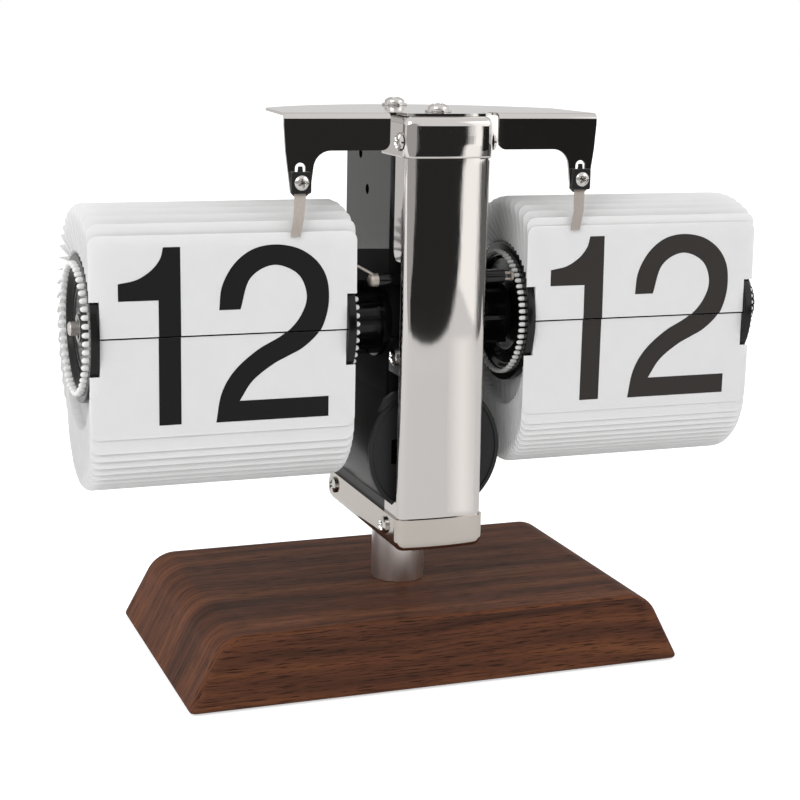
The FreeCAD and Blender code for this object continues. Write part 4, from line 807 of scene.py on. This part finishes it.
# outlines of the figures in the left drum's x and in height above the split: smooth runs between
# corners, each going on from the last point of the run before, the first from that of the last
figureRuns = {
    1: [[(-88.6, 15.9), (-84.6, 18.3), (-82.1, 21.3), (-81.2, 24.5)], [(-76.5, 24.5)], [(-76.4, -24.5)],
        [(-82.6, -24.5)], [(-82.6, 10.2)], [(-93.6, 10.2)], [(-93.6, 14.9)]],
    2: [[(-65.0, 13.4), (-61.6, 19.4), (-56.4, 23.3), (-50.0, 24.5), (-43.3, 23.3), (-38.1, 19.9),
         (-35.1, 15.2), (-34.3, 9.7), (-35.0, 4.4), (-37.2, -0.5), (-41.6, -4.5), (-46.1, -6.8),
         (-50.5, -9.0), (-56.2, -13.3), (-59.9, -18.8)],
        [(-34.0, -18.8)], [(-34.0, -24.6)], [(-66.6, -24.6)],
        [(-65.1, -16.5), (-61.4, -10.2), (-54.9, -4.7), (-47.3, -0.5), (-42.6, 4.4), (-40.8, 10.2),
         (-43.4, 16.2), (-50.3, 18.9), (-57.0, 15.4), (-59.8, 6.9)],
        [(-65.8, 6.9)]],
    3: [[(-64.4, 14.4), (-61.2, 19.8), (-56.3, 23.4), (-50.2, 24.5), (-43.6, 23.3), (-38.4, 19.7),
         (-36.0, 13.0), (-37.2, 7.2), (-41.4, 2.6)],
        [(-36.6, -1.6), (-33.9, -9.8), (-35.6, -17.2), (-41.4, -23.2), (-50.2, -25.1), (-58.6, -23.1),
         (-64.4, -17.4), (-66.4, -9.8)],
        [(-60.4, -9.8)],
        [(-58.6, -15.6), (-50.4, -19.5), (-42.6, -16.4), (-40.2, -10.0), (-43.4, -3.6), (-53.2, -1.6)],
        [(-53.2, 3.5)],
        [(-45.6, 5.2), (-42.2, 12.2), (-44.6, 17.0), (-50.4, 19.1), (-56.8, 15.8), (-59.4, 8.6)],
        [(-65.3, 8.6)]],
}


def figureOutline(figure):
    # the runs as curves, one after the other round the figure
    runs = figureRuns[figure]
    starts = [before[-1] for before in runs[-1:] + runs[:-1]]
    return np.concatenate([smoothRun([start, *run])[:-1] for start, run in zip(starts, runs)])


def halfFigure(figure, upper, slide):
    # flat triangles of one half of a figure, cut at the slit between the leaves, or where its leaf begins
    outline = figureOutline(figure)
    flat = bmesh.new()
    flat.faces.new([flat.verts.new((x, z, 0)) for x, z in outline])
    bmesh.ops.triangulate(flat, faces=flat.faces[:])
    level = max(leaves["splitGap"], slide) if upper else -leaves["splitGap"]
    bmesh.ops.bisect_plane(flat, geom=flat.verts[:] + flat.edges[:] + flat.faces[:],
                           plane_co=(0, level, 0), plane_no=(0, 1, 0), clear_inner=upper,
                           clear_outer=not upper)
    flat.verts.index_update()
    points = np.array([v.co[:2] for v in flat.verts])
    faces = [[v.index for v in face.verts] for face in flat.faces]
    flat.free()
    return points, faces


def printedHalf(text, upper, side, hinge, lean, facing, slide=0.0):
    # the half figures laid on a leaf: x along the leaf, distance from its hinge line along its lean;
    # slide is how much higher than the slit that hinge line lies
    parts = []
    along, normal = leaning(lean)
    base = np.array(hinge) + (leaves["centreY"], drum["axisZ"])
    out = facing * (leaves["thickness"] / 2 + numbers["lift"])
    for figure, left in zip(text, (numbers["firstLeft"], numbers["secondLeft"])):
        points, faces = halfFigure(figure, upper, slide)
        ownLeft = numbers["firstLeft"] if figure == 1 else numbers["secondLeft"]
        x = points[:, :1] + left - ownLeft + (numbers["rightShift"] if side > 0 else 0.0)
        yz = base + (np.abs(points[:, 1:2]) - slide) * along + out * normal
        parts.append((np.concatenate([x, yz], -1), faces))
    return parts


def inkPiece(name, parts, body, ink):
    # thin printed film; its single sheet is given a hair of thickness
    piece = makePiece(name, parts, "drum", (), body, ink)
    piece.data.polygons.foreach_set("use_smooth", np.zeros(len(piece.data.polygons), bool))
    setAll(piece.modifiers.new("film", "SOLIDIFY"), thickness=numbers["thickness"] * mm, offset=0.0)


# the minute figures take the lighter ink, a painted sheen
for side, owner, count, following, ink in ((-1, "hour", 48, (1, 2), "ink"),
                                           (1, "minute", 60, (1, 3), "minuteInk")):
    hinges, leans = packPlaces(count, True)
    front, hanging = (side, frontHinge, leaves["frontLean"]), (side, hangHinge, 180.0)
    upper, behind = printedHalf((1, 2), True, *front, -1), printedHalf(following, False, *front, 1)
    nextUp = printedHalf(following, True, side, hinges[0], leans[0], -1, hinges[0][1])
    inkPiece(owner + "FigureUpper", upper, owner + "_leaf", ink)
    inkPiece(owner + "FigureFollowing", behind, owner + "_leaf", ink)
    inkPiece(owner + "FigureLower", printedHalf((1, 2), False, *hanging, 1), "frame", ink)
    inkPiece(owner + "FigureNext", nextUp, "frame", ink)
print("figures")

base = {"shoulderX": 60.82, "shoulderZ": 11.4, "shoulder": 10.0, "slopeFrom": 63.43, "heel": (1.8, 70.0),
        "longFace": 0.75, "longShift": 300.0, "sideShift": 200.0}


def readAll(items, name, width, kind=float):
    # one attribute of every item as rows of numbers
    values = np.empty(len(items) * width, kind)
    items.foreach_get(name, values)
    return values.reshape(-1, width)


def grainMap(mesh):
    # u runs over the top and down both ends as one veneer, v across; the long faces take their own strip
    corner = readAll(mesh.loops, "vertex_index", 1, np.int32)[:, 0]
    x, y, z = (readAll(mesh.vertices, "co", 3)[corner] / mm).T
    sides = readAll(mesh.polygons, "loop_total", 1, np.int32)[:, 0]
    ny = np.repeat(readAll(mesh.polygons, "normal", 3)[:, 1], sides)
    side, over = np.sign(x), np.maximum(np.abs(x) - base["shoulderX"], 0.0)
    turned = np.degrees(np.arctan2(over, np.maximum(z - base["shoulderZ"], 1e-6)))
    bent = np.radians(np.minimum(turned, base["slopeFrom"])) * base["shoulder"]
    a = math.radians(base["slopeFrom"])
    past = np.maximum((over - base["shoulder"] * math.sin(a)) * math.cos(a)
                      - (z - base["shoulderZ"] - base["shoulder"] * math.cos(a)) * math.sin(a), 0.0)
    along = np.where(turned < base["slopeFrom"], bent, bent + past)
    wrap = side * (np.minimum(np.abs(x), base["shoulderX"]) + along)
    long = np.abs(ny) > base["longFace"]
    u = np.where(long, x + base["longShift"], wrap)
    v = np.where(long, z + base["sideShift"] * np.sign(ny), y)
    layer = mesh.uv_layers.new(name="grain")
    layer.data.foreach_set("uv", np.stack([u, v], -1).ravel())


grainMap(carriedOver("base_block", None, 0.6, 28, heel=base["heel"]))
print("walnut base")

lid = {"slot": [(-13.4, 65.1), (-10.6, 65.1), (-10.6, 72.4), (-13.4, 72.4)], "slotFront": -30.62,
       "slotBack": -30.32, "latchFront": -31.4, "latchBack": -29.6,
       "latch": [(-17.6, 80.9), (-15.9, 84.6), (-13.2, 86.6), (-11.5, 86.6), (-11.5, 84.2), (-13.0, 84.2),
                 (-15.8, 81.9)]}
catch = prismY(lid["latch"], lid["latchFront"], lid["latchBack"])
# the coin slot is a thin black plate set in the lid's face: painted shade for its recess
slot = prismY(lid["slot"], lid["slotFront"], lid["slotBack"])
makePiece("lidCatch", [catch], "case", finish="lid", bevel=0.2)
makePiece("lidSlotShade", [slot], "case", finish="slotShade", bevel=0.05)
tips = [[(side * finger["x"] + x, z) for x, z in finger["end"]] for side in (-1, 1)]
tips = [prismY(tip, finger["endFront"], finger["endBack"]) for tip in tips]
makePiece("fingerEnds", tips, "clamp", bevel=0.1)
print("battery lid details and finger ends")

# finish, bevel, and the crease angle where it isn't 35 degrees
smoothed = {
    "post": ("satin", 0.25, 30), "arm_plate": ("polished", 0.1, 30), "side_bosses": ("drum", 0.15),
    "battery_cap": ("lid", 0.15), "battery_cover": (None, 0.25), "column_stays": ("case", 0.2),
    "finger_clamps": (None, 0.15), "catch_fingers": ("blade", 0.05), "arm_washers": ("screws", 0.12),
    "index_bar": ("case", 0.15), "index_tips": ("blade", 0.0), "case_screws": (None, 0.1),
    "hour_spindle": ("shaft", 0.1), "minute_spindle": ("shaft", 0.1), "hour_core": (None, 0.1),
    "minute_core": (None, 0.1), "bearing_bushes": ("brass", 0.1), "base_pad": (None, 0.1),
    "base_washer": (None, 0.1), "base_screw": (None, 0.1), "dry_cell": (None, 0.2),
}
for node, dressing in smoothed.items():
    carriedOver(node, *dressing)
# below the line the case is darker than above it: painted shade from the drums, besides the matt texture
panelTop, panelClimb = 124.2, 0.129
for node in ("case_left", "case_right"):  # glossy above a line that climbs forwards, textured below it
    carriedOver(node, None, 0.2, 30, [(panelTop, panelClimb, "caseLowerShaded")])
print("carried-over parts:", len(smoothed) + 2)

studio = {
    "floorHalf": 6.0,
    "floorColor": 0.80,
    "floorRoughness": 0.7,
    "floorSpecular": 0.2,
    "floorGlow": 0.55,        # what the camera sees on top of the lit floor
    "floorMirrorGlow": 0.04,  # what polished metal sees on top of it
    "skyStrength": 0.78,
    "lampSize": 1.1,
}


def plainObject(name, points, faces, material):
    # a mesh that belongs to the studio, points in metres
    mesh = bpy.data.meshes.new(name)
    mesh.from_pydata(points, [], faces)
    mesh.materials.append(material)
    piece = addObject(name, mesh)
    return piece


def mathNode(tree, operation, first, second):
    return newNode(tree, "ShaderNodeMath", {0: first, 1: second}, operation=operation).outputs[0]


def whiteFloor():
    # diffuse floor; the camera and mirrors also see a little glow, so it reads white and keeps the shadow
    made = Finish("floorWhite", (studio["floorColor"],) * 3, studio["floorRoughness"],
                  specular=studio["floorSpecular"])
    rays = made.node("ShaderNodeLightPath").outputs
    direct = mathNode(made.tree, "MULTIPLY", rays["Is Camera Ray"], studio["floorGlow"])
    mirrored = mathNode(made.tree, "MULTIPLY", rays["Is Glossy Ray"], studio["floorMirrorGlow"])
    through = mathNode(made.tree, "MULTIPLY", rays["Is Transmission Ray"], studio["floorGlow"])
    seen = mathNode(made.tree, "MAXIMUM", direct, mirrored)
    made.set({"Emission Color": (1, 1, 1, 1),
              "Emission Strength": mathNode(made.tree, "MAXIMUM", seen, through)})
    return made.material


half = studio["floorHalf"]
plainObject("studioFloor", [(-half, -half, 0), (half, -half, 0), (half, half, 0), (-half, half, 0)],
            [(0, 1, 2, 3)], whiteFloor())

# the sky is white where it is seen, directly or in a mirror, and dimmer as a source of light
world = bpy.data.worlds.new("studioWorld")
bpy.context.scene.world = world
world.use_nodes = True
sky = world.node_tree
rays = newNode(sky, "ShaderNodeLightPath", {}).outputs
seen = mathNode(sky, "MAXIMUM", rays["Is Camera Ray"], rays["Is Glossy Ray"])
seen = mathNode(sky, "MAXIMUM", seen, rays["Is Transmission Ray"])
level = newNode(sky, "ShaderNodeMapRange",
                {"Value": seen, "To Min": studio["skyStrength"], "To Max": 1.0})
feed(sky, sky.nodes["Background"], {"Color": (1, 1, 1, 1), "Strength": level.outputs["Result"]})

# place, height aimed at, watts, and whether shiny surfaces see the lamp
lamps = {
    "keyLamp": ((-1.2, -1.0, 1.1), 0.08, 12.0, True),
    "fillLamp": ((1.3, -0.8, 1.0), 0.08, 5.0, True),
    "sideLamp": ((-1.6, 0.2, 0.5), 0.1, 7.0, False),
}


def softBox(name, at, aimHeight, watts, glossy):
    # square area lamp turned towards a point on the frame's Z axis
    lamp = setAll(bpy.data.lights.new(name, "AREA"), size=studio["lampSize"], energy=watts)
    towards = (Vector((0, 0, aimHeight)) - Vector(at)).to_track_quat("-Z", "Y").to_euler()
    setAll(addObject(name, lamp), location=at, rotation_euler=towards, visible_glossy=glossy)


for name, lamp in lamps.items():
    softBox(name, *lamp)

# cards that only shiny surfaces see: depth, glow and outline (x, z) in mm
cards = {
    "blackCard": (-500, 0.03, [(48, 215), (48, 95), (41, 78), (36, 62), (16, 48), (8, 38), (26, 23),
                               (56, 18), (88, 14), (128, 12), (161, 13), (196, 17), (208, 22), (217, 27),
                               (225, 32), (231, 38), (235, 43), (240, 49), (245, 60), (245, 72),
                               (244, 89), (248, 106), (264, 117), (266, 215)]),
    "leftCard": (-520, 0.50, [(-2500, 18), (60, 18), (60, 420), (-2500, 420)]),
    "paleCard": (-450, 1.45, [(219, 94), (219, 62), (214, 49), (245, 38), (270, 28), (300, 18),
                              (300, 118), (236, 118), (222, 112)]),
    "capCard": (-390, 1.55, [(228, 118), (520, 118), (520, 420), (228, 420)]),
    "backCard": (900, 0.70, [(-1500, 0), (1500, 0), (1500, 1500), (-1500, 1500)]),
    "armFlag": (-75, 0.02, [(36, 150), (36, 166), (72, 166), (72, 136), (54, 136), (52, 150)]),
}
# walls of the same kind: glow, heights they stand between and the line (x, y) they stand on
walls = {
    "rightWall": (0.17, (20, 118), [(272, -400), (500, -400), (500, 120)]),
    "capWall": (1.4, (153, 166), [(15.7, -36.5), (15.7, -31.5)]),
}
# streaks of light just above the floor, side by side between a near and a far edge (x, y)
floorStreak = {"near": [(78, -198), (122, -176)], "far": [(229, -555), (345, -500)], "lift": 0.4,
               "glows": (1.02, 1.09, 1.16, 1.22, 1.27, 1.27, 1.22, 1.16, 1.09, 1.02)}


def mirrorCard(name, glow, points, faces):
    # a glowing black sheet, points in mm, hidden from every ray but the glossy ones
    made = Finish(name, (0, 0, 0), 1.0, specular=0.0)
    made.set({"Emission Color": (1, 0.985, 0.97, 1), "Emission Strength": glow})
    card = plainObject(name, (np.array(points, float) * mm).tolist(), faces, made.material)
    for ray in ("camera", "diffuse", "shadow", "transmission"):
        setattr(card, "visible_" + ray, False)


for name, (depth, glow, outline) in cards.items():
    mirrorCard(name, glow, [(x, depth, z) for x, z in outline], [list(range(len(outline)))])
for name, (glow, heights, path) in walls.items():
    points = [(x, y, z) for z in heights for x, y in path]
    mirrorCard(name, glow, points, gridFaces(2, len(path)).tolist())
near, far = np.array(floorStreak["near"], float), np.array(floorStreak["far"], float)
shares = np.linspace(0, 1, len(floorStreak["glows"]) + 1)[:, None]
near, far = (edge[0] + shares * (edge[1] - edge[0]) for edge in (near, far))
for n, glow in enumerate(floorStreak["glows"]):
    corners = [(x, y, floorStreak["lift"]) for x, y in (near[n], far[n], far[n + 1], near[n + 1])]
    mirrorCard(f"floorStreak{n}", glow, corners, [[0, 1, 2, 3]])

view = {"azimuth": -20.618, "elevation": 12.339, "distance": 0.542683, "target": (0.000482, 0, 0.076927),
        "roll": 1.233, "focal": 1760.114, "frame": 800, "sensor": 36, "near": 0.05, "far": 50}


def placeCamera():
    # looks at the target from azimuth and elevation, then rolls about its own line of sight
    a, e, r = (math.radians(view[k]) for k in ("azimuth", "elevation", "roll"))
    back = Vector((math.sin(a) * math.cos(e), -math.cos(a) * math.cos(e), math.sin(e)))
    right = (-back).cross(Vector((0, 0, 1))).normalized()
    up = right.cross(-back)
    sideways = math.cos(r) * right + math.sin(r) * up
    upright = math.cos(r) * up - math.sin(r) * right
    lens = setAll(bpy.data.cameras.new("clockCamera"), sensor_width=view["sensor"],
                  clip_start=view["near"], clip_end=view["far"],
                  lens=view["sensor"] * view["focal"] / view["frame"])
    piece = addObject("clockCamera", lens)
    turn = Matrix((sideways, upright, back)).transposed().to_4x4()
    piece.matrix_world = Matrix.Translation(Vector(view["target"]) + back * view["distance"]) @ turn
    bpy.context.scene.camera = piece


placeCamera()
bpy.context.scene.view_settings.view_transform = "Standard"
print("studio ready")
